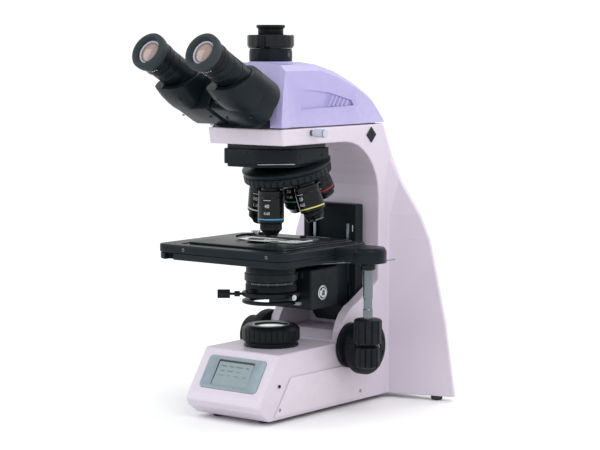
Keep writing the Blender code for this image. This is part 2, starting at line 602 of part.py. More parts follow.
def make_condenser():
    """The carrier with its fork, the condenser in it, and what turns or swings under it."""
    carrier = box_between("condenser_carrier", (-31 * MM, 33 * MM, 114 * MM),
                          (31 * MM, 84 * MM - GAP, 160 * MM),
                          bevel=1.5 * MM)
    axis = Matrix.Translation(place(0))
    join(carrier, turned("fork_ring", [(30 * MM, FORK_TOP - 6 * MM), (30 * MM, FORK_LOW),
                                       (CONDENSER_BORE + GAP, FORK_LOW), (CONDENSER_BORE + GAP,
                                                                          FORK_TOP - 6 * MM)],
                         matrix=axis))
    join(carrier, box_between("fork_bridge", (-22 * MM, 27 * MM, FORK_LOW),
                              (22 * MM, 36 * MM, FORK_TOP - 6 * MM)))
    socket = frame(place(54 * MM, x=31 * MM - 4 * MM, z=132 * MM), TO_X)
    combine(carrier, cylinder("socket_bore", 6 * MM + GAP, 10 * MM, matrix=socket, sides=24))
    lock = cylinder("height_lock", 6 * MM, 5.5 * MM, "steel", socket @ Matrix.Translation((0, 0, GAP)), 24,
                    bevel=0.5 * MM)
    key = [(3 * MM * math.cos(math.radians(60 * i)),
            3 * MM * math.sin(math.radians(60 * i))) for i in range(6)]
    combine(lock, prism("key_socket", key, 6 * MM, matrix=socket @ Matrix.Translation((0, 0, 3 * MM))))
    body_profile = [(0, STAGE_TOP - 3 * MM), (8 * MM, STAGE_TOP - 3 * MM), (12.5 * MM, STAGE_TOP - 11 * MM),
                    (12.5 * MM, FORK_TOP - 2 * MM), (CONDENSER_BORE, FORK_TOP - 4 * MM),
                    (CONDENSER_BORE, FLANGE_HEIGHT), (33 * MM, FLANGE_HEIGHT),
                    (33 * MM, FLANGE_HEIGHT - 7 * MM), (19 * MM, FLANGE_HEIGHT - 7 * MM),
                    (19 * MM, FLANGE_HEIGHT - 2 * MM), (0, FLANGE_HEIGHT - 2 * MM)]
    body = turned("condenser_body", body_profile, matrix=axis, sides=32)
    ring = turned("aperture_ring", [(29 * MM, FORK_LOW - GAP), (29 * MM, FLANGE_HEIGHT + GAP),
                                    (CONDENSER_BORE + GAP, FLANGE_HEIGHT + GAP),
                                    (CONDENSER_BORE + GAP, FORK_LOW - GAP)], matrix=axis, sides=32)
    lever = frame(place(-27 * MM, z=143 * MM), (0, -1, 0))
    join(ring, cylinder("aperture_lever", 1.6 * MM, 12 * MM, matrix=lever, sides=12))
    level = FLANGE_HEIGHT - 3.5 * MM
    for name, out, material in (("centring_screw_left", (-0.79, -0.62, 0), "black_plastic"),
                                ("centring_screw_right", (0.97, -0.25, 0), "steel")):
        direction = Vector(out).normalized()
        seat = frame(place(0, z=level) + direction * 30 * MM, direction)
        combine(body, cylinder(f"{name}_hole", 1.5 * MM + GAP, 8 * MM,
                               matrix=seat @ Matrix.Translation((0, 0, -1 * MM)),
                               sides=12))
        screw = cylinder(name, 1.5 * MM, 14 * MM, material, seat, 12)
        grip = 5 * MM if "left" in name else 3.2 * MM
        start = 16 * MM if "left" in name else 6 * MM
        if "left" in name:
            join(screw, cylinder(f"{name}_collar", 3.2 * MM, 6 * MM,
                                 matrix=seat @ Matrix.Translation((0, 0, 5 * MM)),
                                 sides=16))
            join(screw, cylinder(f"{name}_neck", 1.5 * MM, 10 * MM,
                                 matrix=seat @ Matrix.Translation((0, 0, 9 * MM)),
                                 sides=12))
        join(screw, prism(f"{name}_grip", toothed(grip, 0.4 * MM, 16),
                          14 * MM if "left" in name else 7 * MM,
                          matrix=seat @ Matrix.Translation((0, 0, start)), smooth=False))
    low = FILTER_HEIGHT
    holder = turned("filter_ring", [(33 * MM, low + 4 * MM), (33 * MM, low), (25 * MM, low),
                                    (25 * MM, low + 1 * MM),
                                    (27 * MM, low + 1 * MM), (27 * MM,
                                                              low + 4 * MM)], matrix=axis, sides=32)
    pivot = Matrix.Translation(place(FILTER_PIVOT[1], x=FILTER_PIVOT[0], z=low))
    join(holder, cylinder("filter_boss", 6 * MM, 4 * MM, matrix=pivot, sides=20))
    combine(holder, cylinder("filter_pivot_bore", 2 * MM + GAP, 20 * MM,
                             matrix=pivot @ Matrix.Translation((0, 0, -5 * MM)), sides=16))
    lug = frame(place(FILTER_PIVOT[1], x=FILTER_PIVOT[0], z=low + 4 * MM + GAP), TO_Z)
    join(body, box("filter_lug", (14 * MM, 10 * MM, 7 * MM),
                   matrix=lug @ Matrix.Translation((-2 * MM, 0, 5.0 * MM))))
    join(body, cylinder("filter_pin", 2 * MM, 9 * MM,
                        matrix=pivot @ Matrix.Translation((0, 0, -3 * MM)), sides=16))
    join(body, cylinder("filter_pin_head", 4.5 * MM, 2.4 * MM,
                        matrix=pivot @ Matrix.Translation((0, 0, -3 * MM)),
                        sides=16))


# ---------------------------------------------------------------- nosepiece

TURRET_DOWN = Vector((0, math.sin(TURRET_TILT), -math.cos(TURRET_TILT)))
TURRET_RADIUS = 50 * MM
TURRET_TOP = 19 * MM
SEAT_BORE = 10 * MM


def turret_frame():
    """On the turret's axis in the plane of the objective seats, Z up the axis."""
    back = OBJECTIVE_CIRCLE * math.cos(TURRET_TILT)
    up = OBJECTIVE_CIRCLE * math.sin(TURRET_TILT)
    return frame(place(back, z=TURRET_SEAT + up), -TURRET_DOWN)


def seat_frame(index):
    """A seat of the turret: Z runs up the objective's own axis. Seat 0 is in the light path."""
    turn = Matrix.Rotation(math.radians(-72 * index), 4, "Z")
    axle = turret_frame()
    front = Matrix.Translation(place(0, z=TURRET_SEAT))
    return axle @ turn @ axle.inverted() @ front


def make_nosepiece():
    """The fixed mount under the arm, the analyser slider through it and the turret with its fluted grip."""
    top = ARM_TOP - ARM_THICKNESS - GAP
    outline = [(-36 * MM, -36 * MM), (12 * MM, -36 * MM), (42 * MM, -8 * MM), (42 * MM, 54 * MM),
               (-42 * MM, 54 * MM),
               (-42 * MM, -30 * MM)]
    mount = prism("nosepiece_mount", outline, 30 * MM,
                  matrix=Matrix.Translation(place(0, z=top - 36 * MM)), bevel=1.2 * MM)
    plate = prism("mount_plate", rounded(82 * MM, 90 * MM, 6 * MM, 3), 9 * MM,
                  matrix=Matrix.Translation(place(10 * MM, z=top - 9 * MM)))
    join(mount, plate)
    axle = turret_frame()
    combine(mount, cylinder("turret_room", 70 * MM, 70 * MM,
                            matrix=axle @ Matrix.Translation((0, 0, TURRET_TOP + GAP - 70 * MM)), sides=24))
    combine(mount, cylinder("mount_light_bore", 13 * MM, 60 * MM,
                            matrix=Matrix.Translation(place(0, z=top - 50 * MM)),
                            sides=24))
    combine(mount, box_between("slider_slot", (-60 * MM, -20 * MM - GAP, 287 * MM - GAP),
                               (20 * MM, 0 + GAP, 291 * MM + GAP)))
    slider = box_between("analyser_slider", (-50 * MM, -20 * MM, 287 * MM), (18 * MM, 0, 291 * MM),
                         "brass", 0.5 * MM)
    join(slider, box_between("slider_grip", (-56 * MM, -19 * MM, 285.5 * MM),
                             (-43 * MM, -1 * MM, 292.5 * MM), bevel=1 * MM))
    slider_hole = Matrix.Translation(place(-10 * MM, x=-22 * MM, z=280 * MM))
    combine(slider, cylinder("slider_window", 7 * MM, 20 * MM, matrix=slider_hole, sides=20))
    edge = (TURRET_RADIUS - OBJECTIVE_CIRCLE) * math.tan(TURRET_TILT)
    profile = [(0, TURRET_TOP), (40 * MM, TURRET_TOP), (TURRET_RADIUS - 2 * MM, TURRET_TOP - 4 * MM),
               (TURRET_RADIUS - 2 * MM, edge), (18 * MM, -edge * 0.88), (14 * MM, -8 * MM), (0, -8 * MM)]
    turret = turned("turret", profile, matrix=axle, sides=36)
    join(turret, prism("turret_grip", toothed(TURRET_RADIUS, 1.0 * MM, 30), 8.5 * MM,
                       matrix=axle @ Matrix.Translation((0, 0, edge + 1 * MM)), smooth=False))
    for i in range(5):
        bore = seat_frame(i) @ Matrix.Translation((0, 0, -20 * MM))
        combine(turret, cylinder(f"seat_bore_{i}", SEAT_BORE + GAP, 26 * MM, matrix=bore, sides=16))


# name, seat, length, barrel radius, nose radius, tip radius
OBJECTIVES = (("objective_40x", 0, 54, 15, 12, 6), ("objective_10x", 4, 43, 14, 12.5, 11),
              ("objective_4x", 3, 29, 14, 13.5, 12), ("objective_100x", 1, 50, 14, 11, 4),
              ("objective_20x", 2, 52, 14, 12, 7))


def make_objectives():
    """Five objectives: a threaded end in the turret, a shoulder, the barrel and the front lens."""
    for name, seat, length, barrel, nose, tip in OBJECTIVES:
        length, barrel, nose, tip = length * MM, barrel * MM, nose * MM, tip * MM
        shoulder = barrel * math.tan(TURRET_TILT)
        profile = [(0, 4 * MM), (SEAT_BORE, 4 * MM), (SEAT_BORE, -1.5 * MM),
                   (barrel - 1 * MM, -1.5 * MM - GAP), (barrel, -3 * MM), (barrel, -0.66 * length),
                   (nose, -0.72 * length), (nose, -0.86 * length),
                   (tip + 1 * MM, -length + 1 * MM), (tip, -length), (tip * 0.7, -length),
                   (tip * 0.5, -length + 1 * MM),
                   (0, -length + 1 * MM)]
        turned(name, profile, "black_enamel", seat_frame(seat), 24)


# ---------------------------------------------------------------- viewing head

EYE_OUT = Vector((0, -math.cos(EYE_TILT), math.sin(EYE_TILT)))
WING_FRONT = -80 * MM
HUB_FRONT = -118 * MM
HEAD_HUB_RADIUS = 36 * MM
TUBE_RADIUS = 17.5 * MM
EYECUP_RADIUS = 21.5 * MM
SPINDLE_RADIUS = 10 * MM
PHOTO_TUBE_RADIUS = 23.9 * MM
HOUSING_LOW = ARM_TOP + 1.5 * MM
HOUSING_STATIONS = ((-44, 14, 51.5, 50), (-36, 44, 51, 46), (-28, 70, 50, 43), (30, 70, 51, 46),
                    (62, 62, 51.5, 47),
                    (95, 49, 51.5, 48), (124, 34, 51.5, 49), (146, 12, 50, 49))


def eye_frame():
    """On the spindle that both eyepiece arms swing about: Z towards the user, Y up, z = 0 at the eyecups."""
    return frame(place(EYE_POINT_Y, z=EYE_POINT_Z), EYE_OUT)


def housing_section(y, height, low_half, high_half):
    """The head's cross-section: upright sides, a broad chamfer and a slightly crowned roof."""
    y, height, low_half, high_half = y * MM, height * MM, low_half * MM, high_half * MM
    side = max(height - 9 * MM, 2 * MM)
    right = [(low_half, 0), (high_half, side), (high_half - 7 * MM, height - 2.5 * MM), (18 * MM, height)]
    left = [(-x, z) for x, z in reversed(right)]
    return [(x, AXIS_Y + y, HOUSING_LOW + z) for x, z in right + left]


def make_housing():
    """The lavender housing with its photo tube collar, cut for the hub, the light and the mount."""
    first = housing_section(-44.2, 6, 51, 50.5)
    housing = loft("head_housing", [first] + [housing_section(*row) for row in HOUSING_STATIONS],
                   "lavender_paint")
    top = HOUSING_LOW + HEAD_HEIGHT
    axis = Matrix.Translation(place(0))
    join(housing, turned("photo_collar", [(0, top + 1 * MM), (24.5 * MM, top + 1 * MM),
                                          (27 * MM, top - 5 * MM),
                                          (0, top - 5 * MM)], matrix=axis))
    eye = eye_frame()
    combine(housing, cylinder("hub_pocket", HEAD_HUB_RADIUS + GAP, 70 * MM,
                              matrix=eye @ Matrix.Translation((0, 0, HUB_FRONT - 14 * MM - GAP)), sides=48))
    combine(housing, cylinder("head_light_bore", 16 * MM, 34 * MM,
                              matrix=Matrix.Translation(place(0, z=HOUSING_LOW - 1 * MM)),
                              sides=24))
    combine(housing, box_between("strip_pocket", (-34 * MM - GAP, -60 * MM, HOUSING_LOW - 5 * MM),
                                 (34 * MM + GAP, -40 * MM + GAP, HOUSING_LOW + 9 * MM)))
    fin = [(-6 * MM, HOUSING_LOW + 41 * MM), (-8 * MM, HOUSING_LOW + 19 * MM),
           (88 * MM, HOUSING_LOW + 21 * MM),
           (84 * MM, HOUSING_LOW + 27 * MM), (40 * MM, HOUSING_LOW + 37 * MM)]
    recess = prism("fin_recess", fin, 8 * MM)
    recess.matrix_world = Matrix.Translation((46.5 * MM, 0, 0)) @ SIDE
    combine(housing, recess)
    mirror = prism("fin_recess_left", fin, 8 * MM)
    mirror.matrix_world = Matrix.Translation((-54.5 * MM, 0, 0)) @ SIDE
    combine(housing, mirror)


def make_binocular():
    """The fixed hub with its spindle, and on each side a wing, a tube and an eyepiece."""
    eye = eye_frame()
    hub = cylinder("binocular_hub", HEAD_HUB_RADIUS, 14 * MM - GAP,
                   matrix=eye @ Matrix.Translation((0, 0, HUB_FRONT - 14 * MM)),
                   sides=48, bevel=1 * MM)
    join(hub, cylinder("spindle", SPINDLE_RADIUS, 44 * MM,
                       matrix=eye @ Matrix.Translation((0, 0, HUB_FRONT - 2 * MM)),
                       sides=28, bevel=1 * MM))
    # The disc is cut flat where it would meet the arm.
    hub_flat = HOUSING_LOW + 0.5 * MM
    combine(hub, box_between("hub_flat", (-60 * MM, -120 * MM, hub_flat - 30 * MM), (60 * MM, 0, hub_flat)))
    join(hub, box_between("hub_strip", (-34 * MM, -58 * MM, HOUSING_LOW + 0.5 * MM),
                          (34 * MM, -40 * MM, HOUSING_LOW + 8 * MM),
                          bevel=1 * MM))
    for side, name in ((1, "right"), (-1, "left")):
        x = side * EYE_SPACING / 2
        centre = (EYE_SPACING / 2, 0)
        outline = [(1.2 * MM, -SPINDLE_RADIUS - 3 * MM), (1.2 * MM, -28 * MM), (22 * MM, -30 * MM)]
        outline += arc(centre, 20 * MM, -58, 100, 9)
        outline += arc((0, 0), SPINDLE_RADIUS + 2 * GAP, 40, -72, 5)
        wing_points = [(side * a, b) for a, b in outline]
        if side < 0:
            wing_points.reverse()
        back = HUB_FRONT + GAP
        wing = prism(f"prism_wing_{name}", wing_points, WING_FRONT - back,
                     matrix=eye @ Matrix.Translation((0, 0, back)))
        crescents = []
        for z, start, end in ((WING_FRONT - 3 * MM, -150, 20), (WING_FRONT + 14 * MM, -125, -5),
                              (WING_FRONT + 34 * MM, -80, -35)):
            outer = arc(centre, 22.5 * MM, start, end, 8)
            inner = arc(centre, TUBE_RADIUS - 3 * MM, end, start, 8)
            crescents.append([eye @ Vector((side * a, b, z)) for a, b in outer + inner])
        join(wing, loft(f"cradle_{name}", crescents, "black_enamel"))
        tube_place = eye @ Matrix.Translation((x, 0, 0))
        combine(wing, cylinder(f"cradle_bore_{name}", TUBE_RADIUS + 2 * GAP, 60 * MM,
                               matrix=tube_place @ Matrix.Translation((0, 0, WING_FRONT)), sides=28))
        turned(f"eye_tube_{name}", [(TUBE_RADIUS, -26 * MM), (TUBE_RADIUS, WING_FRONT + GAP),
                                    (13.5 * MM, WING_FRONT + GAP), (13.5 * MM,
                                                                    -26 * MM)], matrix=tube_place, sides=28)
        cup = EYECUP_RADIUS
        turned(f"eyepiece_{name}", [(cup - 1.5 * MM, 0), (cup, -1.5 * MM), (cup, -12 * MM),
                                    (19 * MM, -16 * MM),
                                    (19 * MM, -25 * MM), (TUBE_RADIUS, -26 * MM + GAP), (11.7 * MM,
                                                                                         -26 * MM + GAP),
                                    (11.7 * MM, -60 * MM), (0, -60 * MM), (0, -7 * MM), (11 * MM, -6 * MM),
                                    (14.5 * MM, -1.5 * MM)], "black_rubber", tube_place, 28)


def make_photo_port():
    """The third tube with its clamp ring and dust cap."""
    axis = Matrix.Translation(place(0))
    low = HOUSING_LOW + HEAD_HEIGHT + 1 * MM + GAP
    tube_top, ring_top, cap_top = low + 14 * MM, low + 29 * MM, low + 40 * MM
    turned("photo_tube", [(PHOTO_TUBE_RADIUS, tube_top), (PHOTO_TUBE_RADIUS, low), (12 * MM, low),
                          (12 * MM, tube_top)],
           matrix=axis)
    clamp = prism("clamp_ring", [(26 * MM * math.cos(math.radians(t)), 26 * MM * math.sin(math.radians(t)))
                                 for t in range(0, 360, 15)], ring_top - tube_top - GAP,
                  matrix=Matrix.Translation(place(0, z=tube_top + GAP)), bevel=0.8 * MM, smooth=False)
    combine(clamp, cylinder("clamp_bore", 13.5 * MM + GAP, 30 * MM,
                            matrix=Matrix.Translation(place(0, z=tube_top - 5 * MM))))
    turned("dust_cap", [(0, cap_top), (15 * MM, cap_top), (16 * MM, cap_top - 1 * MM),
                        (16 * MM, cap_top - 3 * MM),
                        (14 * MM, cap_top - 4 * MM), (14 * MM, ring_top + GAP), (13.5 * MM, ring_top + GAP),
                        (13.5 * MM, tube_top + 4 * MM), (0, tube_top + 4 * MM)], "black_plastic", axis)
    rod = frame(place(LIGHT_ROD_Y, x=STAND_HALF_WIDTH - 32.5 * MM, z=LIGHT_ROD_Z), TO_X)
    bar = cylinder("light_path_rod", 3 * MM, 48 * MM, "steel", rod, 16)
    join(bar, cylinder("rod_knob", 4.7 * MM, 16 * MM, matrix=rod @ Matrix.Translation((0, 0, 36.5 * MM)),
                       sides=24, bevel=0.8 * MM))


# ---------------------------------------------------------------- specimen holder


def make_specimen_holder():
    """The glass slide, the carriage that pushes it, the sprung finger and its thumb knob."""
    top = STAGE_TOP + GAP
    slide = box_between("specimen_slide", (-38 * MM, -13 * MM, top), (38 * MM, 13 * MM, top + 1.1 * MM),
                        "optical_glass")
    carriage = box_between("specimen_carriage", (-46 * MM, 15 * MM, top),
                           (48 * MM, 27 * MM, top + 1.8 * MM), "steel")
    join(carriage, box_between("clip_foot", (39 * MM, -14 * MM, top), (48 * MM, 18 * MM, top + 1.8 * MM)))
    peg = Matrix.Translation(place(21 * MM, x=34 * MM, z=top))
    join(carriage, cylinder("carriage_peg", 3.2 * MM, 6 * MM, matrix=peg, sides=16))
    pivot = Matrix.Translation(place(22 * MM, x=-40 * MM, z=top + 1.8 * MM + GAP))
    finger = cylinder("holder_finger", 5 * MM, 1.5 * MM, "steel", pivot, 20)
    join(finger, box_between("finger_blade", (-44 * MM, -14 * MM, top + 1.8 * MM + GAP),
                             (-39 * MM, 22 * MM, top + 1.8 * MM + GAP + 1.5 * MM)))
    knob = pivot @ Matrix.Translation((0, 0, 1 * MM))
    join(finger, prism("finger_thumb_knob", toothed(6.5 * MM, 0.4 * MM, 14), 4.5 * MM, "steel", knob,
                       smooth=False))


make_stand()
make_display()
make_stand_trim()
make_field_illuminator()
make_focus()
make_carrier()
make_stage()
make_condenser()
make_nosepiece()
make_objectives()
make_housing()
make_binocular()
make_photo_port()
make_specimen_holder()
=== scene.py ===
import json
import math

import bmesh
import bpy
from mathutils import Matrix, Vector


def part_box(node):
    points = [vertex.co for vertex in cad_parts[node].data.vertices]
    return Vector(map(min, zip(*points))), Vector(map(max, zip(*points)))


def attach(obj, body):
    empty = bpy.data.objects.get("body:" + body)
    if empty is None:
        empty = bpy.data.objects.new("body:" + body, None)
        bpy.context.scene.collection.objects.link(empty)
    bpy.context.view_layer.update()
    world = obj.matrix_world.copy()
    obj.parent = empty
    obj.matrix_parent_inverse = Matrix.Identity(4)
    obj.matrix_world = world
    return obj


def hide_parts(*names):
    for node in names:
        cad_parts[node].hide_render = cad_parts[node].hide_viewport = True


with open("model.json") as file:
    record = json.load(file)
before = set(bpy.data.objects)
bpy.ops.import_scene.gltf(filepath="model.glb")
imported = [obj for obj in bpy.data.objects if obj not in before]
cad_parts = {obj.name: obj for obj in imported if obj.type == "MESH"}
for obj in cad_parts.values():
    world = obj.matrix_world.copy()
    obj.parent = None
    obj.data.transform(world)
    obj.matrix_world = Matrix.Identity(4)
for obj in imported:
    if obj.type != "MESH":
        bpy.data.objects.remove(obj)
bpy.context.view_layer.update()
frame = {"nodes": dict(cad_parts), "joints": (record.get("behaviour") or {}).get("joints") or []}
nodes = frame["nodes"]
joints = {joint["name"]: joint for joint in frame["joints"]}
mm = 0.001
# the optical axis stands at x = 0 and this y
axisY = (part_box("photo_tube")[0][1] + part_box("photo_tube")[1][1]) / 2
print("frame loaded")


# ---- where things are

def spot(x, y, z):  # millimetres from the optical axis at table height
    return Vector((x * mm, axisY + y * mm, z * mm))


def aim(origin, along, hint=(1, 0, 0)):  # Z runs along the given direction
    z = Vector(along).normalized()
    x = Vector(hint)
    if abs(z.dot(x)) > 0.99:
        x = Vector((0, 1, 0))
    x = (x - z * x.dot(z)).normalized()
    return Matrix.Translation(origin) @ Matrix((x, z.cross(x), z)).transposed().to_4x4()


def jointFrame(name):
    joint = joints[name]
    return aim(Vector(joint["pos_m"]), joint["axis"])


# ---- shader groups shared by the finishes

def newGroup(name, inputs, outputs):
    group = bpy.data.node_groups.new(name, "ShaderNodeTree")
    for label, value in inputs.items():
        socket = group.interface.new_socket(label, in_out="INPUT", socket_type="NodeSocketFloat")
        socket.default_value = value
    for label, kind in outputs.items():
        group.interface.new_socket(label, in_out="OUTPUT", socket_type=kind)
    start = group.nodes.new("NodeGroupInput")
    end = group.nodes.new("NodeGroupOutput")
    return group, start, end


def makeCoatGroup():  # the slight unevenness of sprayed and baked paint, as a height and a soft cloudiness
    group, start, end = newGroup("sprayedCoat", {"Grain": 900.0, "Cloud": 14.0},
                                 {"Height": "NodeSocketFloat", "Cloudiness": "NodeSocketFloat"})
    place = group.nodes.new("ShaderNodeTexCoord")
    fine = group.nodes.new("ShaderNodeTexNoise")
    broad = group.nodes.new("ShaderNodeTexNoise")
    fine.inputs["Detail"].default_value = 2
    broad.inputs["Detail"].default_value = 3
    group.links.new(place.outputs["Object"], fine.inputs["Vector"])
    group.links.new(place.outputs["Object"], broad.inputs["Vector"])
    group.links.new(start.outputs["Grain"], fine.inputs["Scale"])
    group.links.new(start.outputs["Cloud"], broad.inputs["Scale"])
    group.links.new(fine.outputs["Fac"], end.inputs["Height"])
    group.links.new(broad.outputs["Fac"], end.inputs["Cloudiness"])
    return group


def makeEdgeGroup():  # bright where the surface turns sharply outwards, as handled edges are
    group, start, end = newGroup("handledEdge", {"Low": 0.52, "High": 0.60, "Breakup": 120.0},
                                 {"Mask": "NodeSocketFloat"})
    shape = group.nodes.new("ShaderNodeNewGeometry")
    place = group.nodes.new("ShaderNodeTexCoord")
    noise = group.nodes.new("ShaderNodeTexNoise")
    ramp = group.nodes.new("ShaderNodeMapRange")
    mix = group.nodes.new("ShaderNodeMath")
    mix.operation = "MULTIPLY"
    group.links.new(place.outputs["Object"], noise.inputs["Vector"])
    group.links.new(start.outputs["Breakup"], noise.inputs["Scale"])
    group.links.new(shape.outputs["Pointiness"], ramp.inputs["Value"])
    group.links.new(start.outputs["Low"], ramp.inputs["From Min"])
    group.links.new(start.outputs["High"], ramp.inputs["From Max"])
    group.links.new(ramp.outputs["Result"], mix.inputs[0])
    group.links.new(noise.outputs["Fac"], mix.inputs[1])
    group.links.new(mix.outputs["Value"], end.inputs["Mask"])
    return group


def makeTurnedGroup():  # fine lathe and brushing lines round an axis
    group, start, end = newGroup("turnedLines", {"Scale": 1.0, "Stretch": 2600.0},
                                 {"Height": "NodeSocketFloat"})
    place = group.nodes.new("ShaderNodeTexCoord")
    spread = group.nodes.new("ShaderNodeMapping")
    noise = group.nodes.new("ShaderNodeTexNoise")
    widen = group.nodes.new("ShaderNodeCombineXYZ")
    group.links.new(start.outputs["Scale"], widen.inputs["X"])
    group.links.new(start.outputs["Scale"], widen.inputs["Y"])
    group.links.new(start.outputs["Stretch"], widen.inputs["Z"])
    group.links.new(widen.outputs["Vector"], spread.inputs["Scale"])
    group.links.new(place.outputs["Object"], spread.inputs["Vector"])
    group.links.new(spread.outputs["Vector"], noise.inputs["Vector"])
    noise.inputs["Scale"].default_value = 1.0
    noise.inputs["Detail"].default_value = 3
    group.links.new(noise.outputs["Fac"], end.inputs["Height"])
    return group


sprayedCoat = makeCoatGroup()
handledEdge = makeEdgeGroup()
turnedLines = makeTurnedGroup()

finishes = {
    "lilacPaint": dict(color=(0.576, 0.515, 0.607), shade=(0.566, 0.505, 0.597), worn=(0.66, 0.60, 0.67),
                       rough=(0.36, 0.42),
                       coat=0.15, grain=1500, bump=0.05, specular=0.4),
    "lavenderPaint": dict(color=(0.365, 0.330, 0.590), shade=(0.353, 0.318, 0.572), worn=(0.46, 0.43, 0.66),
                          rough=(0.36, 0.42), coat=0.15, grain=1500, bump=0.05, specular=0.4),
    "satinBlack": dict(color=(0.0060, 0.0095, 0.0125), shade=(0.005, 0.0080, 0.0105),
                       worn=(0.024, 0.030, 0.036),
                       rough=(0.30, 0.40), coat=0.0, grain=2200, bump=0.10, specular=0.11),
    "holderGrey": dict(color=(0.070, 0.080, 0.084), shade=(0.060, 0.069, 0.073), worn=(0.13, 0.14, 0.15),
                       rough=(0.30, 0.40), coat=0.0, grain=2200, bump=0.08, specular=0.15),
    "glossBlack": dict(color=(0.0030, 0.0040, 0.0055), shade=(0.0024, 0.0032, 0.0045),
                       worn=(0.02, 0.024, 0.03),
                       rough=(0.12, 0.20), coat=0.0, grain=1400, bump=0.03, specular=0.20),
    "mouldedBlack": dict(color=(0.0048, 0.0062, 0.0085), shade=(0.0040, 0.0052, 0.0070),
                         worn=(0.024, 0.028, 0.034),
                         rough=(0.32, 0.44), coat=0.0, grain=2600, bump=0.16, specular=0.11),
    "softRubber": dict(color=(0.028, 0.037, 0.042), shade=(0.022, 0.030, 0.034), worn=(0.05, 0.058, 0.062),
                       rough=(0.52, 0.68), coat=0.0, grain=3000, bump=0.22, specular=0.2),
    "bezelGrey": dict(color=(0.180, 0.225, 0.268), shade=(0.170, 0.212, 0.252), worn=(0.31, 0.39, 0.44),
                      rough=(0.34, 0.44), coat=0.0, grain=2400, bump=0.08, specular=0.4),
    "palePlastic": dict(color=(0.46, 0.465, 0.57), shade=(0.42, 0.425, 0.53), worn=(0.56, 0.57, 0.66),
                        rough=(0.30, 0.40),
                        coat=0.0, grain=2000, bump=0.05, specular=0.4),
}


def shaderOf(material):
    return material.node_tree.nodes["Principled BSDF"]


def paintFinish(name, color, shade, worn, rough, coat, grain, bump, specular=0.4):
    material = bpy.data.materials.new(name)
    material.use_nodes = True
    tree = material.node_tree
    shader = shaderOf(material)
    coatNode = tree.nodes.new("ShaderNodeGroup")
    coatNode.node_tree = sprayedCoat
    coatNode.inputs["Grain"].default_value = grain
    edgeNode = tree.nodes.new("ShaderNodeGroup")
    edgeNode.node_tree = handledEdge
    tint = tree.nodes.new("ShaderNodeMix")
    tint.data_type = "RGBA"
    tint.inputs[6].default_value = (*color, 1)
    tint.inputs[7].default_value = (*shade, 1)
    wear = tree.nodes.new("ShaderNodeMix")
    wear.data_type = "RGBA"
    wear.inputs[7].default_value = (*worn, 1)
    gloss = tree.nodes.new("ShaderNodeMapRange")
    gloss.inputs["To Min"].default_value = rough[0]
    gloss.inputs["To Max"].default_value = rough[1]
    height = tree.nodes.new("ShaderNodeBump")
    height.inputs["Strength"].default_value = bump
    height.inputs["Distance"].default_value = 0.0002
    tree.links.new(coatNode.outputs["Cloudiness"], tint.inputs[0])
    tree.links.new(tint.outputs[2], wear.inputs[6])
    tree.links.new(edgeNode.outputs["Mask"], wear.inputs[0])
    tree.links.new(wear.outputs[2], shader.inputs["Base Color"])
    tree.links.new(coatNode.outputs["Cloudiness"], gloss.inputs["Value"])
    tree.links.new(gloss.outputs["Result"], shader.inputs["Roughness"])
    tree.links.new(coatNode.outputs["Height"], height.inputs["Height"])
    tree.links.new(height.outputs["Normal"], shader.inputs["Normal"])
    shader.inputs["Specular IOR Level"].default_value = specular
    shader.inputs["Coat Weight"].default_value = coat
    shader.inputs["Coat Roughness"].default_value = 0.18
    return material


def metalFinish(name, color, rough, stretch=2600.0, bump=0.12):
    material = bpy.data.materials.new(name)
    material.use_nodes = True
    tree = material.node_tree
    shader = shaderOf(material)
    lines = tree.nodes.new("ShaderNodeGroup")
    lines.node_tree = turnedLines
    lines.inputs["Scale"].default_value = 60
    lines.inputs["Stretch"].default_value = stretch
    tint = tree.nodes.new("ShaderNodeMix")
    tint.data_type = "RGBA"
    tint.inputs[6].default_value = (*[c * 0.86 for c in color], 1)
    tint.inputs[7].default_value = (*color, 1)
    gloss = tree.nodes.new("ShaderNodeMapRange")
    gloss.inputs["To Min"].default_value = rough * 0.8
    gloss.inputs["To Max"].default_value = rough * 1.3
    height = tree.nodes.new("ShaderNodeBump")
    height.inputs["Strength"].default_value = bump
    height.inputs["Distance"].default_value = 0.0001
    tree.links.new(lines.outputs["Height"], tint.inputs[0])
    tree.links.new(tint.outputs[2], shader.inputs["Base Color"])
    tree.links.new(lines.outputs["Height"], gloss.inputs["Value"])
    tree.links.new(gloss.outputs["Result"], shader.inputs["Roughness"])
    tree.links.new(lines.outputs["Height"], height.inputs["Height"])
    tree.links.new(height.outputs["Normal"], shader.inputs["Normal"])
    shader.inputs["Metallic"].default_value = 1.0
    return material


materials = {name: paintFinish(name, **values) for name, values in finishes.items()}
materials["steel"] = metalFinish("steel", (0.165, 0.195, 0.212), 0.20)
materials["chrome"] = metalFinish("chrome", (0.50, 0.52, 0.54), 0.12, bump=0.04)
materials["brass"] = metalFinish("brass", (0.20, 0.175, 0.125), 0.34)


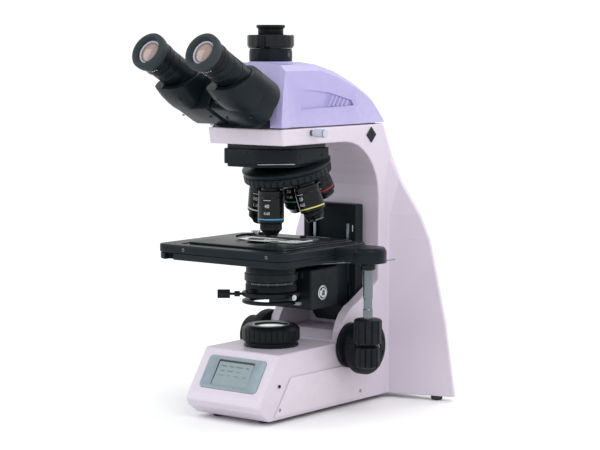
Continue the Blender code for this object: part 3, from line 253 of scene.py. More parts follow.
# a coated lens with a faint cloudiness
def glassFinish(name, color, rough=0.04, transmission=0.0, paintedGlow=None):
    material = bpy.data.materials.new(name)
    material.use_nodes = True
    tree = material.node_tree
    shader = shaderOf(material)
    coatNode = tree.nodes.new("ShaderNodeGroup")
    coatNode.node_tree = sprayedCoat
    coatNode.inputs["Cloud"].default_value = 60
    tint = tree.nodes.new("ShaderNodeMix")
    tint.data_type = "RGBA"
    tint.inputs[6].default_value = (*color, 1)
    tint.inputs[7].default_value = (*[c * 0.85 for c in color], 1)
    tree.links.new(coatNode.outputs["Cloudiness"], tint.inputs[0])
    tree.links.new(tint.outputs[2], shader.inputs["Base Color"])
    shader.inputs["Roughness"].default_value = rough
    shader.inputs["Transmission Weight"].default_value = transmission
    shader.inputs["Coat Weight"].default_value = 0.6
    shader.inputs["Coat Roughness"].default_value = 0.03
    # optional painted glow: a faint emission that makes the glass look lit
    if paintedGlow:
        shader.inputs["Emission Color"].default_value = (*paintedGlow[0], 1)
        shader.inputs["Emission Strength"].default_value = paintedGlow[1]
    return material


materials["eyeLens"] = glassFinish("eyeLens", (0.30, 0.20, 0.18))
materials["frontLens"] = glassFinish("frontLens", (0.10, 0.16, 0.20))
# the field window gets a faint painted glow, though no lamp is modelled in it
materials["fieldGlass"] = glassFinish("fieldGlass", (0.62, 0.68, 0.64), 0.12,
                                      paintedGlow=((0.75, 0.85, 0.75), 0.25))
materials["slideGlass"] = glassFinish("slideGlass", (0.80, 0.88, 0.86), 0.03, 0.9)
shaderOf(materials["slideGlass"]).inputs["Coat Weight"].default_value = 0.0
shaderOf(materials["slideGlass"]).inputs["Specular IOR Level"].default_value = 0.2
materials["displayGlass"] = glassFinish("displayGlass", (0.185, 0.245, 0.262), 0.22)
shaderOf(materials["displayGlass"]).inputs["Coat Weight"].default_value = 0.1
print("finishes made")

# ---- what each node wears

wears = {
    "lilacPaint": ["stand_casting", "side_cover"],
    "lavenderPaint": ["head_housing"],
    "softRubber": ["eyepiece_left", "eyepiece_right", "foot_front_left", "foot_front_right",
                   "foot_rear_left",
                   "foot_rear_right"],
    "steel": ["focus_shaft", "drive_post", "specimen_carriage", "holder_finger", "lamp_board",
              "light_path_rod"],
    "chrome": ["height_lock", "centring_screw_right"],
    "brass": ["analyser_slider"],
    "bezelGrey": ["display_bezel"],
    "displayGlass": ["display_glass"],
    "slideGlass": ["specimen_slide"],
    "fieldGlass": ["field_lens"],
    "mouldedBlack": ["coarse_knob_left", "coarse_knob_right", "fine_knob_left", "fine_knob_right",
                     "long_travel_knob",
                     "cross_travel_knob", "field_ring", "brightness_knob", "power_inlet", "power_rocker",
                     "dust_cap",
                     "arm_badge", "tension_collar"],
    "glossBlack": ["clamp_ring", "objective_40x", "objective_10x", "objective_4x", "objective_100x",
                   "objective_20x"],
}
finishOf = {node: finish for finish, group in wears.items() for node in group}


def dress(item, finish):
    item.data.materials.clear()
    item.data.materials.append(materials[finish])


for name, item in nodes.items():
    dress(item, finishOf.get(name, "satinBlack"))
print("nodes dressed")

# ---- building pieces


# every corner becomes a small arc, so its edge catches light
def softened(profile, radius=0.5, closed=True):
    out = []
    for i, here in enumerate(profile):
        if not closed and i in (0, len(profile) - 1):
            out.append(here)
            continue
        corner = Vector(here[:2])
        before = Vector(profile[i - 1][:2]) - corner
        after = Vector(profile[(i + 1) % len(profile)][:2]) - corner
        if before.length < 1e-6 or after.length < 1e-6 or abs(before.angle(after) - math.pi) < 0.12:
            out.append(here)
            continue
        reach = min(radius, before.length * 0.42, after.length * 0.42)
        start = corner + before.normalized() * reach
        end = corner + after.normalized() * reach
        for share in (0, 0.5, 1):
            point = start * (1 - share) ** 2 + corner * 2 * share * (1 - share) + end * share ** 2
            out.append((point.x, point.y, *here[2:]))
    return out


# (radius, height, share of the pattern's depth) in millimetres
def lathe(profile, segments=96, pattern=(0,)):
    shape = bmesh.new()
    rings = []
    for radius, height, *share in profile:
        if radius < 1e-6:
            rings.append([shape.verts.new((0, 0, height * mm))])
            continue
        cut = share[0] if share else 0
        ring = []
        for i in range(segments):
            turn = 2 * math.pi * i / segments
            reach = (radius - cut * pattern[i % len(pattern)]) * mm
            ring.append(shape.verts.new((reach * math.cos(turn), reach * math.sin(turn), height * mm)))
        rings.append(ring)
    pairs = list(zip(rings, rings[1:]))
    if len(rings[0]) > 1 and len(rings[-1]) > 1:
        pairs.append((rings[-1], rings[0]))
    for low, high in pairs:
        for i in range(segments):
            j = (i + 1) % segments
            corners = [low[i % len(low)], low[j % len(low)], high[j % len(high)], high[i % len(high)]]
            face = [v for k, v in enumerate(corners) if v not in corners[:k]]
            if len(face) > 2:
                shape.faces.new(face)
    bmesh.ops.recalc_face_normals(shape, faces=shape.faces)
    return shape


# an outline in XY between two heights, its rims rolled over
def slab(outline, low, high, edge=0.0, steps=3):
    shape = bmesh.new()
    face = shape.faces.new([shape.verts.new((x * mm, y * mm, low * mm)) for x, y in outline])
    lifted = bmesh.ops.extrude_face_region(shape, geom=[face])
    top = [v for v in lifted["geom"] if isinstance(v, bmesh.types.BMVert)]
    bmesh.ops.translate(shape, vec=(0, 0, (high - low) * mm), verts=top)
    bmesh.ops.recalc_face_normals(shape, faces=shape.faces)
    if edge:
        rims = [e for e in shape.edges if abs(e.verts[0].co.z - e.verts[1].co.z) < 1e-7]
        bmesh.ops.bevel(shape, geom=rims, offset=edge * mm, segments=steps, affect="EDGES", profile=0.5)
    return shape


def arcPoints(centre, radius, start, end, steps):
    turns = [math.radians(start + (end - start) * i / steps) for i in range(steps + 1)]
    return [(centre[0] + radius * math.cos(turn), centre[1] + radius * math.sin(turn)) for turn in turns]


def roundRect(width, height, radius, centre=(0, 0), steps=6):
    w, h = width / 2 - radius, height / 2 - radius
    corners = ((w, h, 0), (-w, h, 90), (-w, -h, 180), (w, -h, 270))
    return [p for x, y, a in corners for p in arcPoints((centre[0] + x, centre[1] + y), radius, a,
                                                        a + 90, steps)]


def roundShape(outline, radius):  # an outline with its corners turned into arcs of up to that radius
    out = []
    for i, here in enumerate(outline):
        corner = Vector(here)
        before = Vector(outline[i - 1]) - corner
        after = Vector(outline[(i + 1) % len(outline)]) - corner
        reach = min(radius, before.length * 0.45, after.length * 0.45)
        start, end = corner + before.normalized() * reach, corner + after.normalized() * reach
        for step in range(6):
            share = step / 5
            point = start * (1 - share) ** 2 + corner * 2 * share * (1 - share) + end * share ** 2
            out.append((point.x, point.y))
    return out


def skin(sections):  # a closed body through sections that have the same number of points, in millimetres
    shape = bmesh.new()
    rings = [[shape.verts.new(Vector(point) * mm) for point in section] for section in sections]
    count = len(rings[0])
    for near, far in zip(rings, rings[1:]):
        for i in range(count):
            shape.faces.new((near[i], near[(i + 1) % count], far[(i + 1) % count], far[i]))
    shape.faces.new(rings[0])
    shape.faces.new(rings[-1])
    bmesh.ops.recalc_face_normals(shape, faces=shape.faces)
    return shape


def rod(points, radius, sides=12):  # a round bar along points given in millimetres
    path = [Vector(point) * mm for point in points]
    shape = bmesh.new()
    rings = []
    for i, here in enumerate(path):
        along = (path[min(i + 1, len(path) - 1)] - path[max(i - 1, 0)]).normalized()
        turn = aim(here, along)
        rings.append([shape.verts.new(turn @ Vector((radius * mm * math.cos(2 * math.pi * k / sides),
                                                     radius * mm * math.sin(2 * math.pi * k / sides), 0)))
                      for k in range(sides)])
    for near, far in zip(rings, rings[1:]):
        for k in range(sides):
            shape.faces.new((near[k], near[(k + 1) % sides], far[(k + 1) % sides], far[k]))
    shape.faces.new(rings[0])
    shape.faces.new(rings[-1])
    bmesh.ops.recalc_face_normals(shape, faces=shape.faces)
    return shape


def gathered(parts):  # several shapes, each with the matrix that places it, in one mesh
    whole = bmesh.new()
    for shape, matrix in parts:
        mesh = bpy.data.meshes.new("gathered")
        shape.to_mesh(mesh)
        shape.free()
        mesh.transform(matrix)
        whole.from_mesh(mesh)
        bpy.data.meshes.remove(mesh)
    return whole


def move(x, y, z):
    return Matrix.Translation((x * mm, y * mm, z * mm))


def turnZ(degrees):
    return Matrix.Rotation(math.radians(degrees), 4, "Z")


def plainObject(name, shape):
    mesh = bpy.data.meshes.new(name)
    shape.to_mesh(mesh)
    shape.free()
    item = bpy.data.objects.new(name, mesh)
    bpy.context.scene.collection.objects.link(item)
    return item


def carve(item, cuts, operation="DIFFERENCE"):  # Booleans whose result is kept in the piece's own mesh
    tools = []
    for i, (shape, matrix) in enumerate(cuts):
        tool = plainObject(f"cut{i}", shape)
        tool.matrix_world = matrix
        step = item.modifiers.new("cut", "BOOLEAN")
        step.operation = operation
        step.solver = "EXACT"
        step.object = tool
        tools.append(tool)
    bpy.context.view_layer.update()
    result = bpy.data.meshes.new_from_object(item.evaluated_get(bpy.context.evaluated_depsgraph_get()))
    item.modifiers.clear()
    item.data = result
    for tool in tools:
        bpy.data.objects.remove(tool)


def settle(item, finish, body, replaced=(), bevel=0.0, sharp=34, bevelAngle=38, steps=3):
    mesh = item.data
    mesh.shade_smooth()
    if bevel:
        roll = item.modifiers.new("rolled edges", "BEVEL")
        roll.width = bevel * mm
        roll.segments = steps
        roll.limit_method = "ANGLE"
        roll.angle_limit = math.radians(bevelAngle)
        roll.harden_normals = True
    else:
        mesh.set_sharp_from_angle(angle=math.radians(sharp))
    dress(item, finish)
    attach(item, body)
    if replaced:
        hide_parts(*replaced)
    return item


def addPiece(name, shape, finish, body, matrix=None, replaced=(), bevel=0.0, sharp=34, cuts=()):
    item = plainObject(name, shape)
    if matrix is not None:
        item.matrix_world = matrix
        bpy.context.view_layer.update()
    if cuts:
        carve(item, cuts)
    return settle(item, finish, body, replaced, bevel, sharp)


def screwHead(radius, height, socket=True):  # a cap screw: chamfered head with a hexagon socket
    if not socket:
        return lathe(softened([(0, 0), (radius, 0), (radius, height * 0.7), (radius * 0.6, height),
                               (0, height)], 0.2, False), 32)
    profile = [(0, -height * 0.5), (radius, -height * 0.5), (radius, height * 0.8), (radius * 0.88, height),
               (radius * 0.55, height), (radius * 0.5, height * 0.15), (0, height * 0.15)]
    return lathe(profile, 36, (0,))


def lettering(words, size, depth=0.12):  # figures as thin raised print, lying in XY, centred
    words = str(words)
    curve = bpy.data.curves.new("print", "FONT")
    curve.body = words
    curve.size = size * mm
    curve.extrude = depth * mm / 2
    curve.resolution_u = 2
    curve.align_x, curve.align_y = "CENTER", "CENTER"
    item = bpy.data.objects.new("print", curve)
    bpy.context.scene.collection.objects.link(item)
    bpy.context.view_layer.update()
    mesh = bpy.data.meshes.new_from_object(item.evaluated_get(bpy.context.evaluated_depsgraph_get()))
    bpy.data.objects.remove(item)
    shape = bmesh.new()
    shape.from_mesh(mesh)
    bpy.data.meshes.remove(mesh)
    bmesh.ops.remove_doubles(shape, verts=shape.verts, dist=1e-7)
    return shape


def wrapped(shape, radius, turn=0.0, height=0.0):  # print laid round a cylinder along Z, facing outwards
    for vertex in shape.verts:
        angle = math.radians(turn) + vertex.co.x / (radius * mm)
        reach = radius * mm + vertex.co.z
        vertex.co = Vector((reach * math.cos(angle), reach * math.sin(angle), vertex.co.y + height * mm))
    return shape


def inkFinish(name, color, rough=0.5):  # printed or enamelled colour with a little tooth
    material = paintFinish(name, color, [c * 0.86 for c in color], [min(1, c * 1.1) for c in color],
                           (rough, rough + 0.1), 0.0, 1800, 0.05)
    return material


materials["whiteInk"] = inkFinish("whiteInk", (0.66, 0.68, 0.68))
materials["blueBand"] = inkFinish("blueBand", (0.045, 0.34, 0.56), 0.3)
materials["yellowBand"] = inkFinish("yellowBand", (0.62, 0.56, 0.14), 0.3)
materials["redBand"] = inkFinish("redBand", (0.36, 0.020, 0.030), 0.3)
materials["greenBand"] = inkFinish("greenBand", (0.05, 0.30, 0.10), 0.3)
materials["displayInk"] = inkFinish("displayInk", (0.125, 0.165, 0.180), 0.4)
# near-black ink: the dark seam under the head housing and the rod knob's dark ring, and also the painted
# shadow round the display glass
materials["darkTrimAndShadow"] = inkFinish("darkTrimAndShadow", (0.055, 0.045, 0.058), 0.6)
here = Matrix.Translation(spot(0, 0, 0))  # the optical axis at table height

# ---- binocular head

eye = jointFrame("eye_spacing_right")  # Z runs out to the user along the tubes, X to the right
spacing = (jointFrame("dioptre_right").translation - eye.translation).length / mm
tubeAt = {"right": eye @ move(spacing, 0, 0), "left": eye @ move(-spacing, 0, 0)}
eyepieces = dict(cupRadius=20.8, barrelRadius=18.6, lensRadius=11.9, mouthRadius=15.2)


def makeEyepiece(side):
    place = tubeAt[side]
    body = f"eyepiece_{side}"
    cup, barrel, mouth = eyepieces["cupRadius"], eyepieces["barrelRadius"], eyepieces["mouthRadius"]
    rim = eyepieces["lensRadius"] + 1
    rubber = softened([(barrel - 1, -12.4), (cup - 1.3, -12.4), (cup - 0.5, -10.8), (cup, -8.0),
                       (cup, -3.2), (cup - 1.9, -1.0),
                       (cup - 3.4, -0.4), (mouth + 0.6, -0.7), (mouth - 0.8, -3.2), (rim, -6.2),
                       (barrel - 4, -7.6)], 0.8)
    addPiece(f"eyecup_{side}", lathe(rubber, 120), "softRubber", body, place, (body,))
    shell = [(0, -59), (11.3, -59), (11.3, -26.2), (17.4, -26.2), (17.8, -25.4), (barrel, -24.6),
             (barrel, -19.5), (barrel - 0.5, -19.1),
             (barrel - 0.5, -18.5), (barrel, -18.1), (barrel, -13.0), (barrel - 1, -12.6),
             (rim + 0.5, -12.6), (rim + 0.5, -8.2), (0, -8.2)]
    addPiece(f"ocular_barrel_{side}", lathe(softened(shell, 0.3, False), 120), "mouldedBlack", body, place)
    ring = [(rim + 0.4, -6.3), (rim + 0.4, -8.0), (rim - 1.4, -8.0), (rim - 1.4, -7.1), (rim - 0.4, -6.2)]
    addPiece(f"lens_rim_{side}", lathe(softened(ring, 0.2), 96), "palePlastic", body, place)
    dome = [(0, -8.1), (rim - 1.2, -8.1), (rim - 1.2, -7.3)]
    dome += [((rim - 1.2) * math.cos(t),
              -7.3 + 2.6 * math.sin(t)) for t in (0.2, 0.45, 0.7, 0.95, 1.2, 1.4)] + [(0, -4.7)]
    addPiece(f"eye_lens_{side}", lathe(dome, 96), "eyeLens", body, place)
    marks = []
    for i in range(-4, 5):  # the dioptre scale's ticks and zero
        tick = slab([(-0.22, -0.9 - 0.5 * (i % 2 == 0)), (0.22, -0.9 - 0.5 * (i % 2 == 0)), (0.22, 0.8),
                     (-0.22, 0.8)], -0.05, 0.06)
        marks.append((wrapped(tick, barrel, -92 + i * 7.5, -16.2), Matrix()))
    marks.append((wrapped(lettering("0", 3.4), barrel, -92, -21.9), Matrix()))
    addPiece(f"dioptre_scale_{side}", gathered(marks), "whiteInk", body, place)


def makeTube(side):
    profile = [(13.7, -26.5), (17.1, -26.5), (17.6, -27.1), (17.6, -36.2), (17.0, -36.7), (17.0, -37.5),
               (17.5, -38.0), (17.5, -51.6),
               (16.9, -52.1), (16.9, -53.0), (17.5, -53.5), (17.5, -79.4), (13.7, -79.4)]
    addPiece(f"tube_{side}", lathe(softened(profile, 0.25), 120), "satinBlack", f"tube_{side}",
             tubeAt[side], (f"eye_tube_{side}",))
    stub = lathe([(0, -0.6), (1.1, -0.6), (1.1, 0.35), (0.7, 0.5), (0.55, 0.1), (0, 0.1)], 20)
    place = tubeAt[side] @ turnZ(-100) @ move(17.3, 0, -44) @ Matrix.Rotation(math.radians(90), 4, "Y")
    addPiece(f"tube_grub_{side}", stub, "steel", f"tube_{side}", place)


wing = dict(back=-117.7, front=-80.0, belly=30.5, jacket=22.4, tipZ=-40.0, spindle=10.6, cutRise=0.724)


def makeWing(side):
    sign = 1 if side == "right" else -1
    c = (spacing, 0)
    outline = [(1.3, -13.4), (1.3, -26.6), (4.0, -29.4), (22, -wing["belly"]), (43, -wing["belly"]),
               (51, -27.5), (56.5, -20)]
    outline += arcPoints(c, wing["jacket"], -28, 104, 16)
    outline += [(15.2, 14.0)] + arcPoints((0, 0), wing["spindle"], 42, -74, 12)
    block = slab([(sign * x, y) for x, y in outline][::sign], wing["back"], wing["front"], 1.6)
    sections = []
    for z, low in ((-90, 29.6), (-80, 30.6), (-70, 30.2), (-58, 28.6), (-48, 26.0), (-41, 23.4),
                   (wing["tipZ"], 22.9)):
        ring = [(15.6, -10), (16.4, -low + 8), (20, -low + 2.6), (26, -low + 0.4), (31, -low),
                (44, -low), (50, -low + 1.6),
                (55.5, -low + 6.5), (58.6, -12)] + arcPoints(c, wing["jacket"], -14, 194, 26)
        sections.append([(sign * x, y, z) for x, y in ring])
    jacket = plainObject(f"jacket_{side}", skin(sections))
    tilt = math.atan(wing["cutRise"])
    top = slab(roundRect(140, 160, 4), 0, 90)
    carve(jacket, [(top, move(sign * spacing, -23, -45.6) @ Matrix.Rotation(-tilt, 4, "X")),
                   (lathe([(0, -150), (17.9, -150), (17.9, -30), (0, -30)], 96),
                    move(sign * spacing, 0, 0))])
    bevelled = bmesh.new()
    bevelled.from_mesh(jacket.data)
    bpy.data.objects.remove(jacket)
    trimmed = plainObject(f"wing_{side}", gathered([(block, Matrix()), (bevelled, Matrix())]))
    trimmed.matrix_world = eye
    bpy.context.view_layer.update()
    settle(trimmed, "satinBlack", f"wing_{side}", (f"prism_wing_{side}",), bevel=0.7, bevelAngle=42,
           steps=2)
    heads = []
    slope = Matrix.Rotation(-tilt, 4, "X")
    for x, y in ((-3.5, -22.0),):
        z = -45.6 - (y + 23) * wing["cutRise"]
        heads.append((screwHead(1.9, 0.9), move(sign * spacing + x, y, z) @ slope))
    for x, z in ((-12, -62), (10, -96), (-26, -100)):
        heads.append((screwHead(1.5, 0.5),
                      move(sign * (spacing + x), -wing["belly"],
                           z) @ Matrix.Rotation(math.radians(90), 4, "X")))
    addPiece(f"wing_screws_{side}", gathered(heads), "glossBlack", f"wing_{side}", eye)


def makeHub():
    disc = [(0, -131.6), (35, -131.6), (36, -130.6), (36, -119.2), (35, -118.1), (29.5, -118.1),
            (29.2, -118.6), (28.7, -118.6),
            (28.4, -118.1), (10.0, -118.1), (10.0, -76.6), (9.2, -76.0), (0, -76.0)]
    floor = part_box("head_housing")[0].z / mm + 0.6
    below = slab(roundRect(200, 200, 2, (0, -60)), floor - 60, floor)
    addPiece("hub_disc", lathe(softened(disc, 0.3, False), 128), "satinBlack", "stand", eye,
             ("binocular_hub",),
             cuts=[(below, here)], sharp=30)
    strip = slab(roundRect(69, 17.4, 1.2, (0, -49)), floor, floor + 7.4, 0.5)
    addPiece("dovetail_strip", strip, "glossBlack", "stand", here)
    heads = [(screwHead(1.9, 0.9), eye @ turnZ(turn) @ move(32.4, 0, -118.1)) for turn in (58, 122, 180,
                                                                                           0, 250, 290)]
    addPiece("hub_screws", gathered(heads), "glossBlack", "stand")


for side in ("right", "left"):
    makeEyepiece(side)
    makeTube(side)
    makeWing(side)
makeHub()
print("binocular head made")

# ---- third tube

photoPort = dict(flutes=20, fluteDepth=0.35)


def makePhotoPort():
    low, high = (point.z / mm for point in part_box("photo_tube"))
    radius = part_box("photo_tube")[1].x / mm
    tube = [(13, low), (radius - 0.6, low), (radius, low + 0.6), (radius, high - 3.0),
            (radius - 0.5, high - 2.6), (radius - 0.5, high - 0.1),
            (13, high - 0.1)]
    addPiece("camera_tube", lathe(softened(tube, 0.3), 128), "satinBlack", "stand", here, ("photo_tube",))
    place = here @ turnZ(4) @ move(radius - 0.2, 0,
                                   (low + high) / 2) @ Matrix.Rotation(math.radians(90), 4, "Y")
    addPiece("camera_tube_screw", screwHead(1.9, 0.6), "steel", "stand", place)
    low, high = (point.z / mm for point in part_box("clamp_ring"))
    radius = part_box("clamp_ring")[1].x / mm
    ring = [(14.0, low), (radius - 1.3, low), (radius - 1.0, low + 1.6), (radius, low + 1.9, 1),
            (radius, high - 1.3, 1),
            (radius - 0.9, high), (radius - 7, high), (radius - 7.6, high - 0.8), (14.0, high - 0.8)]
    pattern = (0, 0, 0, 0, 0, 1)
    addPiece("port_clamp", lathe([(r, z, *(k * photoPort["fluteDepth"] for k in cut)) for r, z,
                                  *cut in ring],
                                 photoPort["flutes"] * len(pattern), pattern), "glossBlack", "stand",
                                 here, ("clamp_ring",), sharp=28)
    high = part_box("dust_cap")[1].z / mm
    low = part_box("dust_cap")[0].z / mm
    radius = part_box("dust_cap")[1].x / mm
    cap = [(0, low), (13.2, low), (13.2, high - 11), (radius - 1.9, high - 11),
           (radius - 1.9, high - 4.4), (radius - 0.2, high - 3.2),
           (radius, high - 1.2), (radius - 0.7, high - 0.1), (radius - 2.6, high),
           (radius - 3.4, high - 0.9), (0, high - 0.9)]
    addPiece("port_cap", lathe(softened(cap, 0.3, False), 112), "mouldedBlack", "dust_cap", here,
             ("dust_cap",))


makePhotoPort()
print("third tube made")

# ---- painted shells

shells = dict(coverEdge=0.5, bezelEdge=0.5, slats=5)


def rollEdges(node, width, angle=34, steps=3):
    roll = nodes[node].modifiers.new("rolled edges", "BEVEL")
    roll.width = width * mm
    roll.segments = steps
    roll.limit_method = "ANGLE"
    roll.angle_limit = math.radians(angle)
    roll.harden_normals = True


def makeHousingTrim():
    rollEdges("side_cover", shells["coverEdge"])
    rollEdges("display_bezel", shells["bezelEdge"])
    side = (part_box("head_housing")[1].x / mm) - 0.9
    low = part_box("head_housing")[0].z / mm
    for sign in (1, -1):
        slats = []
        for i in range(shells["slats"]):
            y = 44 + i * 7.2
            tall = 15.5 - i * 1.7
            leaf = slab(roundRect(2.0, tall, 0.9), 0, 0.9, 0.35)
            lean = Matrix.Rotation(math.radians(-38), 4, "Z")
            place = aim(spot(sign * (side - 0.6), y, low + 27.5 - i * 0.9), (sign, 0, 0.05),
                        (0, sign, 0)) @ lean
            slats.append((leaf, place))
        addPiece(f"housing_slats_{'right' if sign > 0 else 'left'}", gathered(slats), "lavenderPaint",
                 "stand")
    joint = slab(roundShape([(-50.4, -42.8), (50.4, -42.8), (50.4, 100), (44, 138), (-44, 138),
                             (-50.4, 100)], 4),
                 low - 1.4, low + 0.2)
    addPiece("housing_joint", joint, "darkTrimAndShadow", "stand", here)


makeHousingTrim()
print("shells trimmed")

# ---- turret and objectives

turret = jointFrame("turret_turn")
# each: place round the turret, length below its shoulder, barrel radius, nose radius, band and print
objectives = {
    "40x": dict(seat=0, length=54, radius=14.6, nose=12.4, tip=6.2, band="blueBand",
                figures=("40", "0.65")),
    "100x": dict(seat=1, length=50, radius=13.6, nose=11.6, tip=5.2, band="whiteInk",
                 figures=("100", "1.25")),
    "20x": dict(seat=2, length=52, radius=13.8, nose=11.8, tip=6.0, band="greenBand",
                figures=("20", "0.40")),
    "4x": dict(seat=3, length=29, radius=13.8, nose=12.0, tip=9.0, band="redBand", figures=("4", "0.10")),
    "10x": dict(seat=4, length=43, radius=14.4, nose=11.6, tip=8.0, band="yellowBand",
                figures=("10", "0.25")),
}


def makeObjective(label, facts):
    node = f"objective_{label}"
    home = spot(0, 0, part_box("objective_40x")[0].z / mm + objectives["40x"]["length"])
    up = turret.to_3x3().col[2]
    pivot = turret.translation
    spin = Matrix.Translation(pivot) @ Matrix.Rotation(math.radians(-72 * facts["seat"]), 4,
                                                       up) @ Matrix.Translation(-pivot)
    # Z runs from the shoulder to the tip
    place = spin @ Matrix.Translation(home) @ Matrix.Rotation(math.pi, 4, "X")
    length, barrel, nose, tip = facts["length"], facts["radius"], facts["nose"], facts["tip"]
    bandAt = length * 0.62
    sleeve = min(length * 0.86, bandAt + 14)
    body = [(0, -3.6), (10.4, -3.6), (10.4, 1.4), (barrel - 1.6, 1.6), (barrel - 0.4, 2.6),
            (barrel - 0.4, 6.0, 0.3), (barrel - 0.4, 8.6, 0.3),
            (barrel - 0.4, 9.2), (barrel, 9.8), (barrel, bandAt - 1.0), (barrel - 0.3, bandAt - 0.8),
            (barrel - 0.3, bandAt + 0.8),
            (barrel, bandAt + 1.0), (barrel, bandAt + 3.4), (barrel - 0.8, bandAt + 4.2),
            (nose + 0.2, bandAt + 4.8),
            (nose, bandAt + 5.6, 0.35), (nose, sleeve - 1.0, 0.35), (nose - 0.9, sleeve),
            ((nose + tip) / 2 + 0.6, sleeve + 1.6),
            (tip + 1.0, length - 1.6), (tip, length - 0.3), (tip - 0.5, length), (tip * 0.55, length),
            (tip * 0.45, length - 0.8), (0, length - 0.8)]
    pattern = (0, 0, 1, 1)
    addPiece(f"lens_barrel_{label}", lathe(body, 144, pattern), "glossBlack", "turret", place, (node,),
             sharp=24)
    ring = [(barrel - 0.5, bandAt - 0.75), (barrel + 0.08, bandAt - 0.65),
            (barrel + 0.08, bandAt + 0.65), (barrel - 0.5, bandAt + 0.75)]
    addPiece(f"magnification_band_{label}", lathe(ring, 120), facts["band"], "turret", place)
    glass = [(0, length - 0.9), (tip * 0.5, length - 0.9), (tip * 0.42, length - 0.45),
             (tip * 0.2, length - 0.25), (0, length - 0.2)]
    addPiece(f"front_lens_{label}", lathe(glass, 48), "frontLens", "turret", place)
    collar = [(tip + 0.5, length - 2.6), (tip + 1.5, length - 2.4), (tip + 1.2, length - 1.2),
              (tip + 0.2, length - 0.9)]
    addPiece(f"nose_edge_{label}", lathe(collar, 96), "steel", "turret", place)
    # the printing is read from the user's side
    toward = place.inverted().to_3x3() @ Vector((0.35, -0.94, 0))
    turn = math.degrees(math.atan2(toward.y, toward.x))
    if facts["seat"] == 4:
        turn += 24
    prints = []
    size = min(5.0, bandAt * 0.22)
    for i, word in enumerate(facts["figures"]):
        text = lettering(word, size * (1.15 if i == 0 else 0.85))
        bmesh.ops.rotate(text, verts=text.verts, cent=(0, 0, 0), matrix=Matrix.Rotation(math.pi, 3, "Z"))
        prints.append((wrapped(text, barrel, turn, bandAt * (0.56 if i == 0 else 0.80)), Matrix()))
    rule = slab([(-4.2, -0.22), (4.2, -0.22), (4.2, 0.22), (-4.2, 0.22)], -0.05, 0.06)
    lengthwise = [e for e in rule.edges if abs(e.verts[0].co.x - e.verts[1].co.x) > 1e-5]
    bmesh.ops.subdivide_edges(rule, edges=lengthwise, cuts=8)
    prints.append((wrapped(rule, barrel, turn, bandAt * 0.36), Matrix()))
    addPiece(f"printing_{label}", gathered(prints), "whiteInk", "turret", place)


def makeTurret():
    # the ribbed grip ring over a shallow dome, seen from below
    profile = [(0, -4.2), (12, -4.4), (34, -0.5), (43.0, 3.2), (46.5, 4.6), (48.0, 5.4),
               (49.7, 6.6, 1.1), (49.9, 12.2, 1.1),
               (48.4, 13.9), (29.0, 14.4), (29.0, 19.0), (0, 19.0)]
    pattern = (0, 0, 0, 0, 0, 1, 1, 0)
    addPiece("turret_shell", lathe(profile, 40 * len(pattern), pattern), "satinBlack", "turret", turret,
             ("turret",), sharp=26)
    bowl = [(49.4, 14.9), (50.4, 17), (50.4, 18.9), (48.6, 19.4), (30.2, 19.4), (30.2, 14.9)]
    addPiece("mount_bowl", lathe(bowl, 160), "satinBlack", "stand", turret)
    bosses = []
    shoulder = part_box("objective_40x")[0].z / mm + objectives["40x"]["length"]
    for i in range(5):
        spin = turnZ(72 * i)
        home = turret.inverted() @ aim(spot(0, 0, shoulder), (0, 0, -1))
        boss = [(10.8, -1.2), (13.6, -1.2), (14.2, -1.8), (14.8, -9), (10.8, -9)]
        bosses.append((lathe(boss, 80), spin @ home))
    addPiece("turret_bosses", gathered(bosses), "satinBlack", "turret", turret)
    flip = Matrix.Rotation(math.pi, 4, "X")
    rivets = [(screwHead(1.5, 0.5), turret @ turnZ(36 + 72 * i) @ move(24, 0,
                                                                       -2.6) @ flip) for i in range(5)]
    addPiece("turret_screws", gathered(rivets), "glossBlack", "turret")


def makeMount():
    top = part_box("nosepiece_mount")[1].z / mm
    base = top - 5.5
    plate = roundShape([(-38, -36), (10, -36), (41.8, -9), (41.8, 54), (-41.8, 54), (-41.8, -30)], 5)
    addPiece("mount_plate", slab(plate, base - 16.5, base + 0.4, 1.1), "satinBlack", "stand", here,
             ("nosepiece_mount",),
             cuts=[(slab(roundRect(62, 21, 1.0, (-22, -10.2)), base - 11.2, base - 5.2), here)], bevel=0.4)
    neck = roundShape([(-36, -33), (8, -33), (38.8, -7), (38.8, 52), (-38.8, 52), (-38.8, -27)], 5)
    addPiece("mount_neck", slab(neck, base + 0.2, top, 0.3), "glossBlack", "stand", here)
    lip = roundShape([(-39, -32), (9, -32.5), (37, -8), (37, 48), (-39, 48)], 6)
    addPiece("mount_skirt", slab(lip, base - 20.0, base - 16.2, 0.9), "satinBlack", "stand", here)
    edge = rod([(10.5, -36.4, base - 16.2), (26, -23.2, base - 16.0), (41.4, -9.6, base - 15.8)], 0.5)
    addPiece("mount_bright_edge", edge, "chrome", "stand", here)
    heads = [(screwHead(1.7, 0.6), aim(spot(41.8, y, base - 8), (1, 0, 0))) for y in (2, 40)]
    heads += [(screwHead(1.5, 0.5), aim(spot(x, -36, base - 3), (0, -1, 0))) for x in (-6, 4)]
    addPiece("mount_screws", gathered(heads), "glossBlack", "stand")
    stub = slab(roundRect(7.4, 6.6, 0.8), -56.2, -43, 0.5)
    grip = aim(spot(0, -10, base - 8.2), (1, 0, 0), (0, 1, 0))
    addPiece("slider_grip", stub, "mouldedBlack", "analyser_slider", grip)
    tongue = slab(roundRect(16, 3.4, 0.4), -50, 16, 0.2)
    addPiece("slider_tongue", tongue, "brass", "analyser_slider", grip, ("analyser_slider",))


for label, facts in objectives.items():
    makeObjective(label, facts)
makeTurret()
makeMount()
print("turret and objectives made")

# ---- stage, slide holder and stage drive

stageFacts = dict(corner=15, slotWide=13, slotDeep=9, edge=1.5, dropDepth=1.5)


